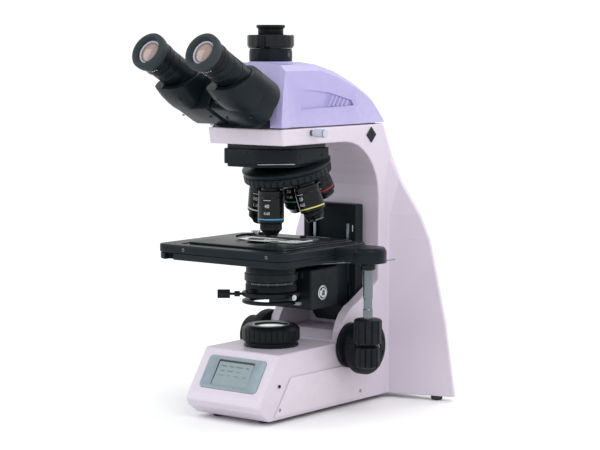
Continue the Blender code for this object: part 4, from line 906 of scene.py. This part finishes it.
def makeStage():
    low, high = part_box("stage_table")
    plateLow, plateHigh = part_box("stage_plate")
    left, right = low.x / mm, 80
    front, rear = (low.y - axisY) / mm, (high.y - axisY) / mm
    under, top = low.z / mm, high.z / mm
    outline = roundShape([(left, front), (right, front), (right, rear), (left, rear)], stageFacts["corner"])
    hole = slab(roundRect(34, 76, 16.5, (0, 4)), -10, 40)
    lower = [(x * 0.994, y * 0.993) for x, y in outline]
    slot = slab(roundRect(stageFacts["slotWide"], 2 * stageFacts["slotDeep"], 1.5, (left + 20, front)),
                under - 5, under + 7.4)
    addPiece("stage_top", slab(outline, top - 9.5, top - 0.1, stageFacts["edge"]), "satinBlack", "stage",
             here, ("stage_table",),
             cuts=[(hole, here @ move(0, 0, top - 20))])
    hole = slab(roundRect(42, 80, 16.5, (0, 4)), -10, 40)
    addPiece("stage_underside", slab(lower, under + 0.4, top - 9.4, 1.6), "satinBlack", "stage", here,
             cuts=[(hole, here @ move(0, 0, top - 30)), (slot, here)])
    hub = lathe(softened([(0, under + 0.2), (20.4, under + 0.2), (20.4, top - 4.5), (18.6, top - 1.2),
                          (17.6, top - 0.4), (0, top - 0.4)],
                         0.9, False), 96)
    addPiece("stage_hub", hub, "satinBlack", "stage", here @ move(108, 36, 0))
    neck = slab(roundShape([(66, 12), (88, 15), (108, 17), (108, 55), (88, 57), (66, 60)], 5),
                under + 1.2, top - 0.8, 0.9)
    addPiece("stage_neck", neck, "satinBlack", "stage", here)
    edges = plateLow.x / mm, plateHigh.x / mm, (plateLow.y - axisY) / mm, (plateHigh.y - axisY) / mm
    middle = ((edges[0] + edges[1]) / 2, (edges[2] + edges[3]) / 2)
    sheet = slab(roundRect(edges[1] - edges[0], edges[3] - edges[2], 5, middle), plateLow.z / mm,
                 plateHigh.z / mm, 0.5)
    hole = slab(roundRect(34, 76, 16.5, (0, 4)), -10, 40)
    addPiece("stage_sheet", sheet, "satinBlack", "stage", here, ("stage_plate",),
             cuts=[(hole, here @ move(0, 0, top - 8))])
    step = plateHigh.z / mm - 0.2
    strips = [(slab(roundRect(4.5, 128, 1, (edges[1] + 3.4, 2)), top - 0.4, step - 0.9, 0.4), here),
              (slab(roundRect(3.2, 132, 1, (edges[0] - 4.4, 2)), top - 0.4, step - 1.2, 0.4), here)]
    addPiece("stage_strips", gathered(strips), "glossBlack", "stage")
    rail = [(slab(roundRect(118, 3.0, 0.8, (0, rear - 8)), top - 0.4, top + 1.0, 0.4), here),
            (rod([(58, -24, under - 0.9), (74, 12, under - 0.9), (82, 34, under - 1.4),
                  (88, 38, under - 1.8)], 0.9, 16), here),
            (rod([(118, 50, under + 1.2), (118, 73, under + 1.2)], 0.8, 16), here),
            (slab(roundRect(7, 16, 1.0, (79, 27)), under - 1.0, under + 0.6, 0.3), here)]
    addPiece("stage_rails", gathered(rail), "steel", "stage")
    heads = [(screwHead(2.0, 0.7), here @ move(x, y, top - 0.4)) for x,
             y in ((-92, -58), (-92, 62), (70, -64), (70, 64))]
    heads += [(screwHead(1.8, 0.7), aim(spot(x, front + 0.2, top - 5), (0, -1, 0))) for x in (-60, 58)]
    heads += [(screwHead(1.6, 0.6), here @ move(108 + 12.5 * math.cos(t), 36 + 12.5 * math.sin(t),
                                                top - 0.9)) for t in (0.6, 2.7, 4.8)]
    addPiece("stage_screws", gathered(heads), "steel", "stage")
    ruler = [(slab([(0, 0), (0.35, 0), (0.35, 3.4 if i % 5 == 0 else 2.0),
                    (0, 3.4 if i % 5 == 0 else 2.0)], 0, 0.08),
              here @ move(-48 + i * 1.6, rear - 15, plateHigh.z / mm - 0.02)) for i in range(51)]
    addPiece("stage_scale", gathered(ruler), "whiteInk", "stage")


def makeHolder():
    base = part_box("specimen_carriage")[0].z / mm
    glass = slab(roundRect(75.6, 25.6, 0.4), base, base + 1.0, 0.15)
    addPiece("glass_slide", glass, "slideGlass", "specimen_carriage", here, ("specimen_slide",))
    frosting = slab(roundRect(15, 24.4, 0.3, (29, 0)), base + 0.95, base + 1.04)
    addPiece("slide_frosting", frosting, "whiteInk", "specimen_carriage", here)
    bar = slab(roundShape([(-45.6, 14), (47.6, 14), (47.6, 26.6), (18, 26.6), (12, 23), (-45.6, 23)],
                          1.6), base + 1.2, base + 3.2, 0.4)
    addPiece("holder_bar", bar, "holderGrey", "specimen_carriage", here, ("specimen_carriage",))
    clip = slab(roundShape([(38.6, -13.4), (46.4, -13.4), (47.4, -4), (47.4, 20), (41.6, 20), (41.6, -8),
                            (38.6, -8)], 1.2), base + 0.1, base + 2.6, 0.4)
    addPiece("holder_clip", clip, "chrome", "specimen_carriage", here)
    pegs = [(lathe(softened([(0, 0), (3.6, 0), (3.6, 2.2), (3.0, 2.8), (0, 2.8)], 0.3, False), 40),
             here @ move(x, 20, base + 3.2)) for x in (30, -30)]
    addPiece("holder_pegs", gathered(pegs), "mouldedBlack", "specimen_carriage")
    low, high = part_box("holder_finger")
    y0, y1 = (low.y - axisY) / mm, (high.y - axisY) / mm
    curve = [(-41, y1 - 6.4), (-44.6, y1 - 14), (-45.9, 4), (-44.8, -5), (-41.6, y0 + 2),
             (-38.6, y0 + 0.6), (-38.9, y0 + 3), (-41.6, -4.0),
             (-42.2, 4), (-40.4, 12), (-36.6, y1 - 8.6)]
    addPiece("holder_arm", slab(roundShape(curve, 1.8),
                                base + 2.2 if base + 2.2 > low.z / mm else low.z / mm, high.z / mm - 2.8,
                                0.4),
             "satinBlack", "holder_finger", here, ("holder_finger",))
    knob = lathe(softened([(0, 0), (5.4, 0), (5.4, 0.8, 0.3), (5.4, 3.0, 0.3), (4.8, 3.5), (0, 3.5)],
                          0.2, False), 120, (0, 1))
    addPiece("finger_knob", knob, "chrome", "holder_finger", here @ move(-40, y1 - 6.4, high.z / mm - 3.6))


def makeDrive():
    low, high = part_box("drive_post")
    centre = ((low.x + high.x) / 2 / mm, ((low.y + high.y) / 2 - axisY) / mm)
    place = here @ move(centre[0], centre[1], 0)
    bottom, top = low.z / mm, high.z / mm
    cross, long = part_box("cross_travel_knob"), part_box("long_travel_knob")
    post = softened([(0, bottom + 0.3), (3.6, bottom + 0.3), (4.2, bottom + 1.0), (4.2, cross[1].z / mm),
                     (5.4, cross[1].z / mm + 0.4),
                     (5.4, top - 66), (4.8, top - 65), (4.8, top - 54), (5.4, top - 53), (5.4, top),
                     (0, top)], 0.4, False)
    addPiece("drive_column", lathe(post, 64), "steel", "stage", place, ("drive_post",))
    collar = softened([(3.0, top - 22), (7.4, top - 22), (8.6, top - 20.5), (8.6, top - 15),
                       (3.0, top - 15)], 0.6)
    for name, (bottom, top), radius, body in (("cross", cross, 13.6, "cross_knob"),
                                              ("long", long, 15.6, "long_knob")):
        lowZ, highZ = bottom.z / mm, top.z / mm
        shape = [(4.8, lowZ + 0.2), (radius - 3.6, lowZ + 0.2), (radius - 1.2, lowZ + 0.9),
                 (radius, lowZ + 2.2, stageFacts["dropDepth"]),
                 (radius, highZ - 3.0, stageFacts["dropDepth"]), (radius - 1.0, highZ - 1.4),
                 (radius - 3.4, highZ - 0.4), (4.8, highZ - 0.4)]
        pattern = (0, 0, 0, 0, 0, 0, 0, 0.6, 1, 0.6)
        addPiece(f"{name}_travel_grip", lathe(shape, 12 * len(pattern), pattern), "mouldedBlack", body,
                 place, (f"{name}_travel_knob",), sharp=28)
    addPiece("drive_collar", lathe(collar, 64), "glossBlack", "stage", place)


makeStage()
makeHolder()
makeDrive()
print("stage made")

# ---- focus drive and guide

focusFacts = dict(dimples=8, dimpleCircle=21, coarseRibs=64, fineRibs=40)


def makeCoarse(sign, name):
    low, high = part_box(f"coarse_knob_{name}")
    inner, outer = (low.x / mm, high.x / mm) if sign > 0 else (-high.x / mm, -low.x / mm)
    place = aim(spot(sign * inner, 74, 72), (sign, 0, 0), (0, 0, 1))
    deep = outer - inner
    shape = [(4.6, 0.2), (28, 0.2), (30.2, 1.0), (30.9, 2.6, 0.5), (30.9, deep - 4.4, 0.5),
             (30.0, deep - 2.0), (28.2, deep - 0.7),
             (26.6, deep - 0.2), (14.8, deep - 0.2), (14.4, deep - 1.6), (4.6, deep - 1.6)]
    cuts = []
    for i in range(focusFacts["dimples"]):
        turn = 2 * math.pi * (i + 0.5) / focusFacts["dimples"]
        bowl = lathe([(0, -2.2), (1.7, -1.9), (3.2, -0.6), (3.6, 1.0), (0, 1.0)], 32)
        cuts.append((bowl, place @ move(focusFacts["dimpleCircle"] * math.cos(turn),
                                        focusFacts["dimpleCircle"] * math.sin(turn), deep - 0.2)))
    addPiece(f"coarse_wheel_{name}", lathe(shape, focusFacts["coarseRibs"] * 3, (0, 0, 1)),
             "mouldedBlack", "coarse_drive", place,
             (f"coarse_knob_{name}",), sharp=28, cuts=cuts)
    ring = [(16.4, deep - 0.4), (16.4, deep - 0.05), (15.2, deep - 0.05), (15.2, deep - 0.4)]
    addPiece(f"coarse_ring_{name}", lathe(ring, 96), "glossBlack", "coarse_drive", place)


def makeFine(sign, name, radius):
    low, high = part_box(f"fine_knob_{name}")
    inner, outer = (low.x / mm, high.x / mm) if sign > 0 else (-high.x / mm, -low.x / mm)
    place = aim(spot(sign * inner, 74, 72), (sign, 0, 0), (0, 0, 1))
    deep = outer - inner
    shape = [(4.6, 0.1), (radius - 1.2, 0.1), (radius - 0.2, 0.8, 0.5), (radius - 0.2, deep - 2.0, 0.5),
             (radius - 1.2, deep - 0.7),
             (radius - 3.0, deep - 0.2), (radius - 4.4, deep - 0.9), (4.6, deep - 0.9)]
    addPiece(f"fine_wheel_{name}", lathe(shape, focusFacts["fineRibs"] * 4, (0, 0, 0.5, 1)),
             "mouldedBlack", f"fine_{name}", place,
             (f"fine_knob_{name}",), sharp=28)
    cap = softened([(0, deep - 1.0), (5.4, deep - 1.0), (5.4, deep - 0.3), (0, deep - 0.3)], 0.2, False)
    addPiece(f"fine_cap_{name}", lathe(cap, 48), "glossBlack", f"fine_{name}", place)
    marks = [(slab([(-0.2, 0), (0.2, 0), (0.2, 2.2 if i % 5 == 0 else 1.3),
                    (-0.2, 2.2 if i % 5 == 0 else 1.3)], 0, 0.06),
              place @ turnZ(i * 12) @ move(0, 6.4, deep - 0.92)) for i in range(30)]
    addPiece(f"fine_scale_{name}", gathered(marks), "whiteInk", f"fine_{name}")


def makeDriveRings():
    low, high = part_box("tension_collar")
    place = aim(spot(low.x / mm, 74, 72), (1, 0, 0), (0, 0, 1))
    deep = (high.x - low.x) / mm
    shape = [(4.6, 0.1), (25.2, 0.1), (25.8, 0.6, 0.45), (25.8, deep - 0.8, 0.45), (24.8, deep - 0.1),
             (4.6, deep - 0.1)]
    addPiece("tension_ring", lathe(shape, 240, (0, 0, 1)), "mouldedBlack", "tension_collar", place,
             ("tension_collar",), sharp=28)


def makeGuide():
    low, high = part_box("guide_cover")
    bottom, top, half = low.z / mm, high.z / mm, high.x / mm
    place = aim(spot(0, (high.y - axisY) / mm, 0), (0, -1, 0), (1, 0, 0))  # Z runs forwards, X to the right
    up = -1 if (place.to_3x3() @ Vector((0, 1, 0))).z < 0 else 1
    deep = (high.y - low.y) / mm
    outline = [(half - 0.3, top - 0.3), (-half + 0.3, top - 0.3), (-half + 0.3, bottom + 24),
               (-half * 0.5, bottom + 0.4),
               (half * 0.5, bottom + 0.4), (half - 0.3, bottom + 24)]
    outline = roundShape([(x, y * up) for x, y in outline], 3)
    recess = roundShape([(-29.5, (top - 9) * up), (29.5, (top - 9) * up), (29.5, (bottom + 17) * up),
                         (-29.5, (bottom + 17) * up)], 2)
    cover = slab(outline, 0.1, deep - 0.1, 0.8)
    addPiece("guide_housing", cover, "satinBlack", "stand", place, ("guide_cover",),
             cuts=[(slab(recess, deep - 6.6, deep + 4), place)])
    rails = [(slab(roundRect(4.2, 96, 0.6, (x, (bottom + 66) * up)), deep - 7.0, deep - 3.4, 0.3),
              place) for x in (-24.2, 24.2)]
    addPiece("guide_rails", gathered(rails), "steel", "stand")
    corners = [(x, z) for x in (-33.6, 33.6) for z in (bottom + 34, top - 12, top - 60)]
    heads = [(screwHead(1.9, 0.7), place @ move(x, z * up, deep - 0.9)) for x, z in corners]
    addPiece("guide_screws", gathered(heads), "glossBlack", "stand")
    marker = slab(roundRect(1.1, 7.5, 0.3, (33.4, (top - 28) * up)), deep - 0.15, deep - 0.02)
    addPiece("guide_mark", marker, "whiteInk", "stand", place)


for sign, name, radius in ((1, "right", 14), (-1, "left", 22)):
    makeCoarse(sign, name)
    makeFine(sign, name, radius)
makeDriveRings()
makeGuide()
print("focus drive made")

# ---- condenser and its carrier

condenserFacts = dict(ticks=21, ringRibs=60)


def makeCondenser():
    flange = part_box("aperture_ring")[0].z / mm - 0.3
    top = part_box("condenser_body")[1].z / mm
    barrel = [(0, flange + 12.3), (27.4, flange + 12.3), (28.2, flange + 13.2), (28.2, 170.4),
              (27.6, 171.6), (25.6, 172.2), (15.4, 173.0),
              (15.0, 174.6), (12.2, 176.5), (8.6, top - 0.8), (7.6, top - 0.3), (0, top - 0.3)]
    skirt = [(18.6, flange - 6.6), (18.6, flange + 0.4), (29.5, flange + 0.2), (32.4, flange - 0.8),
             (32.8, flange - 2.2),
             (32.8, flange - 4.4), (31.6, flange - 5.6), (24.5, flange - 6.6)]
    addPiece("condenser_barrel", lathe(barrel, 128), "satinBlack", "condenser", here, ("condenser_body",))
    addPiece("condenser_skirt", lathe(skirt, 128), "satinBlack", "condenser", here)
    bands = [[(28.0, z - 0.55), (28.45, z - 0.3), (28.45, z + 0.3),
              (28.0, z + 0.55)] for z in (159.6, 166.8)]
    addPiece("condenser_bands", gathered([(lathe(shape, 96), here) for shape in bands]), "glossBlack",
             "condenser")
    lens = [(0, top - 1.0), (7.0, top - 1.0), (6.0, top - 0.2), (3.2, top - 0.05), (0, top)]
    addPiece("condenser_lens", lathe(lens, 48), "frontLens", "condenser", here)
    lowRing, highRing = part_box("aperture_ring")
    z0, z1 = lowRing.z / mm, highRing.z / mm
    ring = [(26.4, z0 + 0.1), (28.2, z0 + 0.1), (28.8, z0 + 0.8, 0.45), (28.8, z1 - 4.4, 0.45),
            (28.3, z1 - 3.8), (28.3, z1 - 0.7),
            (27.6, z1 - 0.1), (26.4, z1 - 0.1)]
    addPiece("aperture_grip", lathe(ring, condenserFacts["ringRibs"] * 3, (0, 0, 1)), "mouldedBlack",
             "aperture_ring", here, ("aperture_ring",),
             sharp=28)
    lever = slab(roundShape([(-2.6, -27.4), (2.6, -27.4), (2.2, -38.2), (-2.2, -38.2)], 1.4), z0 + 1.2,
                 z0 + 4.6, 0.5)
    addPiece("aperture_lever", lever, "mouldedBlack", "aperture_ring", here)
    prints = []
    for i in range(condenserFacts["ticks"]):
        tall = 2.6 if i % 4 == 0 else 1.2
        mark = slab([(-0.2, -tall / 2), (0.2, -tall / 2), (0.2, tall / 2), (-0.2, tall / 2)], -0.03, 0.06)
        prints.append((wrapped(mark, 28.3, -100 + i * 5.2, z1 - 2.2), here))
    for i, word in enumerate(("0.1", "0.3", "0.5", "0.7", "0.9")):
        prints.append((wrapped(lettering(word, 3.8, 0.2), 28.25, -100 + i * 21, z1 + 4.4), here))
    addPiece("aperture_scale", gathered(prints), "whiteInk", "condenser")


def makeCarrierPieces():
    rollEdges("condenser_carrier", 0.9)
    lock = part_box("height_lock")
    socket = aim(spot(lock[0].x / mm, 54, 132), (1, 0, 0), (0, 0, 1))
    deep = (lock[1].x - lock[0].x) / mm
    head = [(0, 0.2), (5.7, 0.2), (5.7, deep - 0.9), (5.0, deep - 0.1), (3.5, deep - 0.1),
            (3.1, deep - 0.5), (3.1, 1.6), (0, 1.6)]
    addPiece("height_lock_screw", lathe(head, 48), "chrome", "height_lock", socket, ("height_lock",))
    for side in ("left", "right"):
        node = f"centring_screw_{side}"
        rollEdges(node, 0.5)


def makeFilter():
    low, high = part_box("filter_ring")
    z0, z1 = low.z / mm, high.z / mm
    ring = [(23.6, z0 + 0.2), (31.4, z0 + 0.2), (32.7, z0 + 1.0), (32.7, z1 - 0.8), (31.8, z1 - 0.1),
            (24.4, z1 - 0.1), (24.0, z1 - 1.2),
            (23.6, z1 - 1.2)]
    addPiece("filter_frame", lathe(ring, 128), "satinBlack", "filter_ring", here, ("filter_ring",))
    hinge = [(lathe(softened([(0, z0 + 0.1), (4.2, z0 + 0.1), (4.2, z1 - 0.1), (0, z1 - 0.1)], 0.4,
                             False), 40), here @ move(36.4, 2, 0))]
    addPiece("filter_hinge", gathered(hinge), "steel", "filter_ring")


makeCondenser()
makeCarrierPieces()
makeFilter()
print("condenser made")

# ---- field lens, switches, feet and rear panel

baseFacts = dict(fieldRibs=30, brightnessRibs=36)


def makeField():
    low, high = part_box("field_ring")
    z0, z1 = low.z / mm, high.z / mm
    ring = [(19.6, z1 - 3.2), (19.6, z1 - 0.5), (20.2, z1 - 0.1), (27.0, z1 - 0.1), (28.4, z1 - 0.9),
            (31.8, z0 + 14.6), (32.3, z0 + 13.6, 0.9),
             (32.3, z0 + 2.2, 0.9), (31.6, z0 + 1.0), (30.6, z0 + 0.2), (12.8, z0 + 0.2), (12.8, z1 - 3.2)]
    addPiece("field_grip", lathe(ring, baseFacts["fieldRibs"] * 12,
                                 (0, 0, 0, 0, 0, 0, 0, 0, 0.2, 1, 1, 0.2)), "mouldedBlack", "field_ring",
                                 here, ("field_ring",), sharp=26)
    trim = [(19.4, z1 - 0.9), (19.4, z1 - 0.1), (20.6, z1 - 0.05), (20.6, z1 - 0.9)]
    addPiece("field_trim", lathe(trim, 128), "steel", "field_ring", here)
    flangeLow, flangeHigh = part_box("field_flange")
    foot = [(0, flangeLow.z / mm + 0.1), (30.7, flangeLow.z / mm + 0.1), (30.9, flangeLow.z / mm + 1.4),
            (29.6, flangeLow.z / mm + 2.6),
            (29.6, flangeLow.z / mm + 4.4), (12.0, flangeHigh.z / mm - 0.2), (0, flangeHigh.z / mm - 0.2)]
    addPiece("field_base", lathe(foot, 128), "satinBlack", "stand", here, ("field_flange",))
    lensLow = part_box("field_lens")[0]
    top = z1 - 1.2
    dome = [(0, lensLow.z / mm + 0.3), (18.9, lensLow.z / mm + 0.3), (18.9, top - 1.6),
            (17.6, top - 1.1), (11.5, top - 0.4), (5.5, top - 0.1), (0, top)]
    addPiece("field_window", lathe(dome, 96), "fieldGlass", "stand", here, ("field_lens",))


def makeSwitches():
    low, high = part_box("brightness_knob")
    inner, outer = -high.x / mm, -low.x / mm
    place = aim(spot(-inner, 18, 48), (-1, 0, 0), (0, 0, 1))
    deep = outer - inner
    shape = [(0, 0.1), (8.2, 0.1), (8.9, 0.8, 0.4), (8.9, deep - 1.6, 0.4), (8.2, deep - 0.5),
             (7.2, deep - 0.1), (0, deep - 0.1)]
    addPiece("brightness_grip", lathe(shape, baseFacts["brightnessRibs"] * 4, (0, 0, 0.5, 1)),
             "mouldedBlack", "brightness_knob", place,
             ("brightness_knob",), sharp=28)
    line = slab(roundRect(0.7, 5.0, 0.2, (0, 4.2)), deep - 0.14, deep - 0.02)
    addPiece("brightness_mark", line, "whiteInk", "brightness_knob", place)


def makeBase():
    for node in ("foot_front_left", "foot_front_right", "foot_rear_left", "foot_rear_right"):
        low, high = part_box(node)
        centre = ((low.x + high.x) / 2 / mm, ((low.y + high.y) / 2 - axisY) / mm)
        tall = (high.z - low.z) / mm
        pad = softened([(0, 0.05), (5.4, 0.05), (6.6, 1.0), (6.8, tall - 0.4), (0, tall - 0.4)], 0.6, False)
        addPiece(f"{node}_pad", lathe(pad, 64), "softRubber", "stand",
                 here @ move(centre[0], centre[1], low.z / mm), (node,))
    low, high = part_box("side_cover")
    x = high.x / mm
    heads = [(screwHead(1.9, 0.5), aim(spot(x - 0.4, y, z), (1, 0, 0))) for y,
             z in ((-52, 16), (-52, 42), (96, 16), (96, 42))]
    addPiece("cover_screws", gathered(heads), "glossBlack", "stand")


def makeRear():
    low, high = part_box("power_inlet")
    back = (high.y - axisY) / mm
    left, right = low.x / mm, high.x / mm
    z0, z1 = low.z / mm, high.z / mm
    rollEdges("power_inlet", 0.6)
    plate = aim(spot((left + right) / 2, back, (z0 + z1) / 2), (0, 1, 0), (1, 0, 0))
    heads = [(screwHead(2.0, 0.4), plate @ move(x, y, -0.5)) for x,
             y in (((right - left) / 2 - 4, 0), (-(right - left) / 2 + 4, 0))]
    addPiece("inlet_screws", gathered(heads), "steel", "stand")


makeField()
makeSwitches()
makeBase()
makeRear()
print("base pieces made")

# ---- display, rod knob and socket ring

detailFacts = dict(rows=4)


def faceFrame(node):  # the middle and outward direction of a node's forward-facing side
    item = nodes[node]
    weight, middle, along = 0.0, Vector(), Vector()
    for face in item.data.polygons:
        if face.normal.y < -0.3:
            weight += face.area
            middle += face.center * face.area
            along += face.normal * face.area
    return aim(item.matrix_world @ (middle / weight), along.normalized(), (1, 0, 0))


def makeDisplay():
    place = faceFrame("display_glass")
    half = (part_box("display_glass")[1].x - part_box("display_glass")[0].x) / 2 / mm
    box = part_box("display_glass")
    tall = math.hypot((box[1].z - box[0].z) / mm, (box[1].y - box[0].y) / mm) / 2 - 1
    up = 1 if (place.to_3x3() @ Vector((0, 1, 0))).z > 0 else -1
    # a thin near-black ring just proud of the display glass: painted shadow of the bezel's inner wall round
    # the window
    rim = slab(roundRect(2 * half + 1.6, 2 * tall + 1.6, 1.2), -0.3, 0.28, 0.1)
    window = slab(roundRect(2 * half - 1.0, 2 * tall - 1.0, 0.8), -2, 2)
    addPiece("display_shadow_rim", rim, "darkTrimAndShadow", "stand", place, cuts=[(window, place)])
    bars = []
    for row in range(detailFacts["rows"]):
        y = up * (tall * 0.62 - row * tall * 0.38)
        for i in range(3 if row % 2 else 4):
            wide = (7.5, 5.0, 9.0, 3.6)[(i + row) % 4]
            bars.append((slab(roundRect(wide, 1.0, 0.3, (-half * 0.66 + i * half * 0.44, y)), 0.02, 0.1),
                         place))
    addPiece("display_segments", gathered(bars), "displayInk", "stand")


def makeRodKnob():
    low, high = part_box("light_path_rod")
    side = high.x / mm - 16
    z = (low.z + high.z) / 2 / mm
    place = aim(spot(side, 6, z), (1, 0, 0), (0, 0, 1))
    knob = [(0, 0), (4.2, 0), (4.6, 0.5), (4.6, 13.0), (4.2, 13.6), (4.2, 14.2), (4.6, 14.6),
            (4.6, 15.2), (4.0, 15.9), (0, 15.9)]
    addPiece("path_knob", lathe(knob, 64), "palePlastic", "light_path_rod", place, ("light_path_rod",))
    addPiece("path_knob_ring", lathe([(4.1, 13.5), (4.45, 13.5), (4.45, 14.3), (4.1, 14.3)], 64), "darkTrimAndShadow",
             "light_path_rod", place)
    addPiece("path_bar", lathe([(0, -34), (2.9, -34), (2.9, 0.4), (0, 0.4)], 32), "steel",
             "light_path_rod", place)


def makeSocketRing():
    ring = lathe(softened([(6.4, -0.4), (8.6, -0.4), (8.6, 0.8), (6.9, 1.1), (6.4, 0.8)], 0.2), 64)
    addPiece("socket_ring", ring, "chrome", "condenser", aim(spot(31, 54, 132), (1, 0, 0), (0, 0, 1)))


makeDisplay()
makeRodKnob()
makeSocketRing()
print("details made")

# ---- floor, light and camera

studio = dict(floorSize=8.0, floorColor=(0.93, 0.93, 0.935), worldColor=(1.0, 1.0, 1.0), worldStrength=1.07)


def setLook():  # plain display colours
    look = bpy.context.scene.view_settings
    look.view_transform = "Standard"
    look.look = "None"


def makeStudio():
    mesh = bpy.data.meshes.new("floor")
    shape = bmesh.new()
    bmesh.ops.create_grid(shape, x_segments=1, y_segments=1, size=studio["floorSize"] / 2)
    shape.to_mesh(mesh)
    shape.free()
    floor = bpy.data.objects.new("floor", mesh)
    bpy.context.scene.collection.objects.link(floor)
    floor.location.z = -0.0002
    material = bpy.data.materials.new("floorPaper")
    material.use_nodes = True
    shaderOf(material).inputs["Base Color"].default_value = (*studio["floorColor"], 1)
    shaderOf(material).inputs["Roughness"].default_value = 0.9
    mesh.materials.append(material)
    world = bpy.data.worlds.new("studio")
    bpy.context.scene.world = world
    world.use_nodes = True
    world.node_tree.nodes["Background"].inputs["Color"].default_value = (*studio["worldColor"], 1)
    world.node_tree.nodes["Background"].inputs["Strength"].default_value = studio["worldStrength"]


def softLight(name, position, target, size, power, color=(1.0, 1.0, 1.0)):
    light = bpy.data.lights.new(name, "AREA")
    light.shape = "RECTANGLE"
    light.size, light.size_y = size
    light.energy = power
    light.color = color
    lamp = bpy.data.objects.new(name, light)
    lamp.matrix_world = aim(Vector(position), Vector(position) - Vector(target))
    bpy.context.scene.collection.objects.link(lamp)


def makeCamera():
    camera = bpy.data.cameras.new("camera")
    camera.lens = 117.0
    camera.sensor_width = 36.0
    camera.sensor_fit = "HORIZONTAL"
    azimuth, pitch, distance = math.radians(38), math.radians(5.71), 2.1667
    right = Vector((math.cos(azimuth), math.sin(azimuth), 0))
    ahead = Vector((-math.sin(azimuth), math.cos(azimuth), 0))
    where = spot(0, 0, 428) - ahead * distance + right * 0.0324
    view = bpy.data.objects.new("camera", camera)
    view.matrix_world = aim(where, -(ahead * math.cos(pitch) + Vector((0, 0, -math.sin(pitch)))), right)
    bpy.context.scene.collection.objects.link(view)
    bpy.context.scene.camera = view


setLook()
makeStudio()
softLight("keyLight", (2.0, -1.1, 2.1), (0, 0, 0.25), (1.6, 1.6), 22)
softLight("leftLight", (-1.7, -1.5, 1.2), (0, 0, 0.25), (0.9, 1.8), 9, (0.84, 0.97, 1.0))
softLight("rearLight", (0.6, 2.0, 1.8), (0, 0, 0.25), (1.4, 1.0), 12)
makeCamera()
print("studio ready")
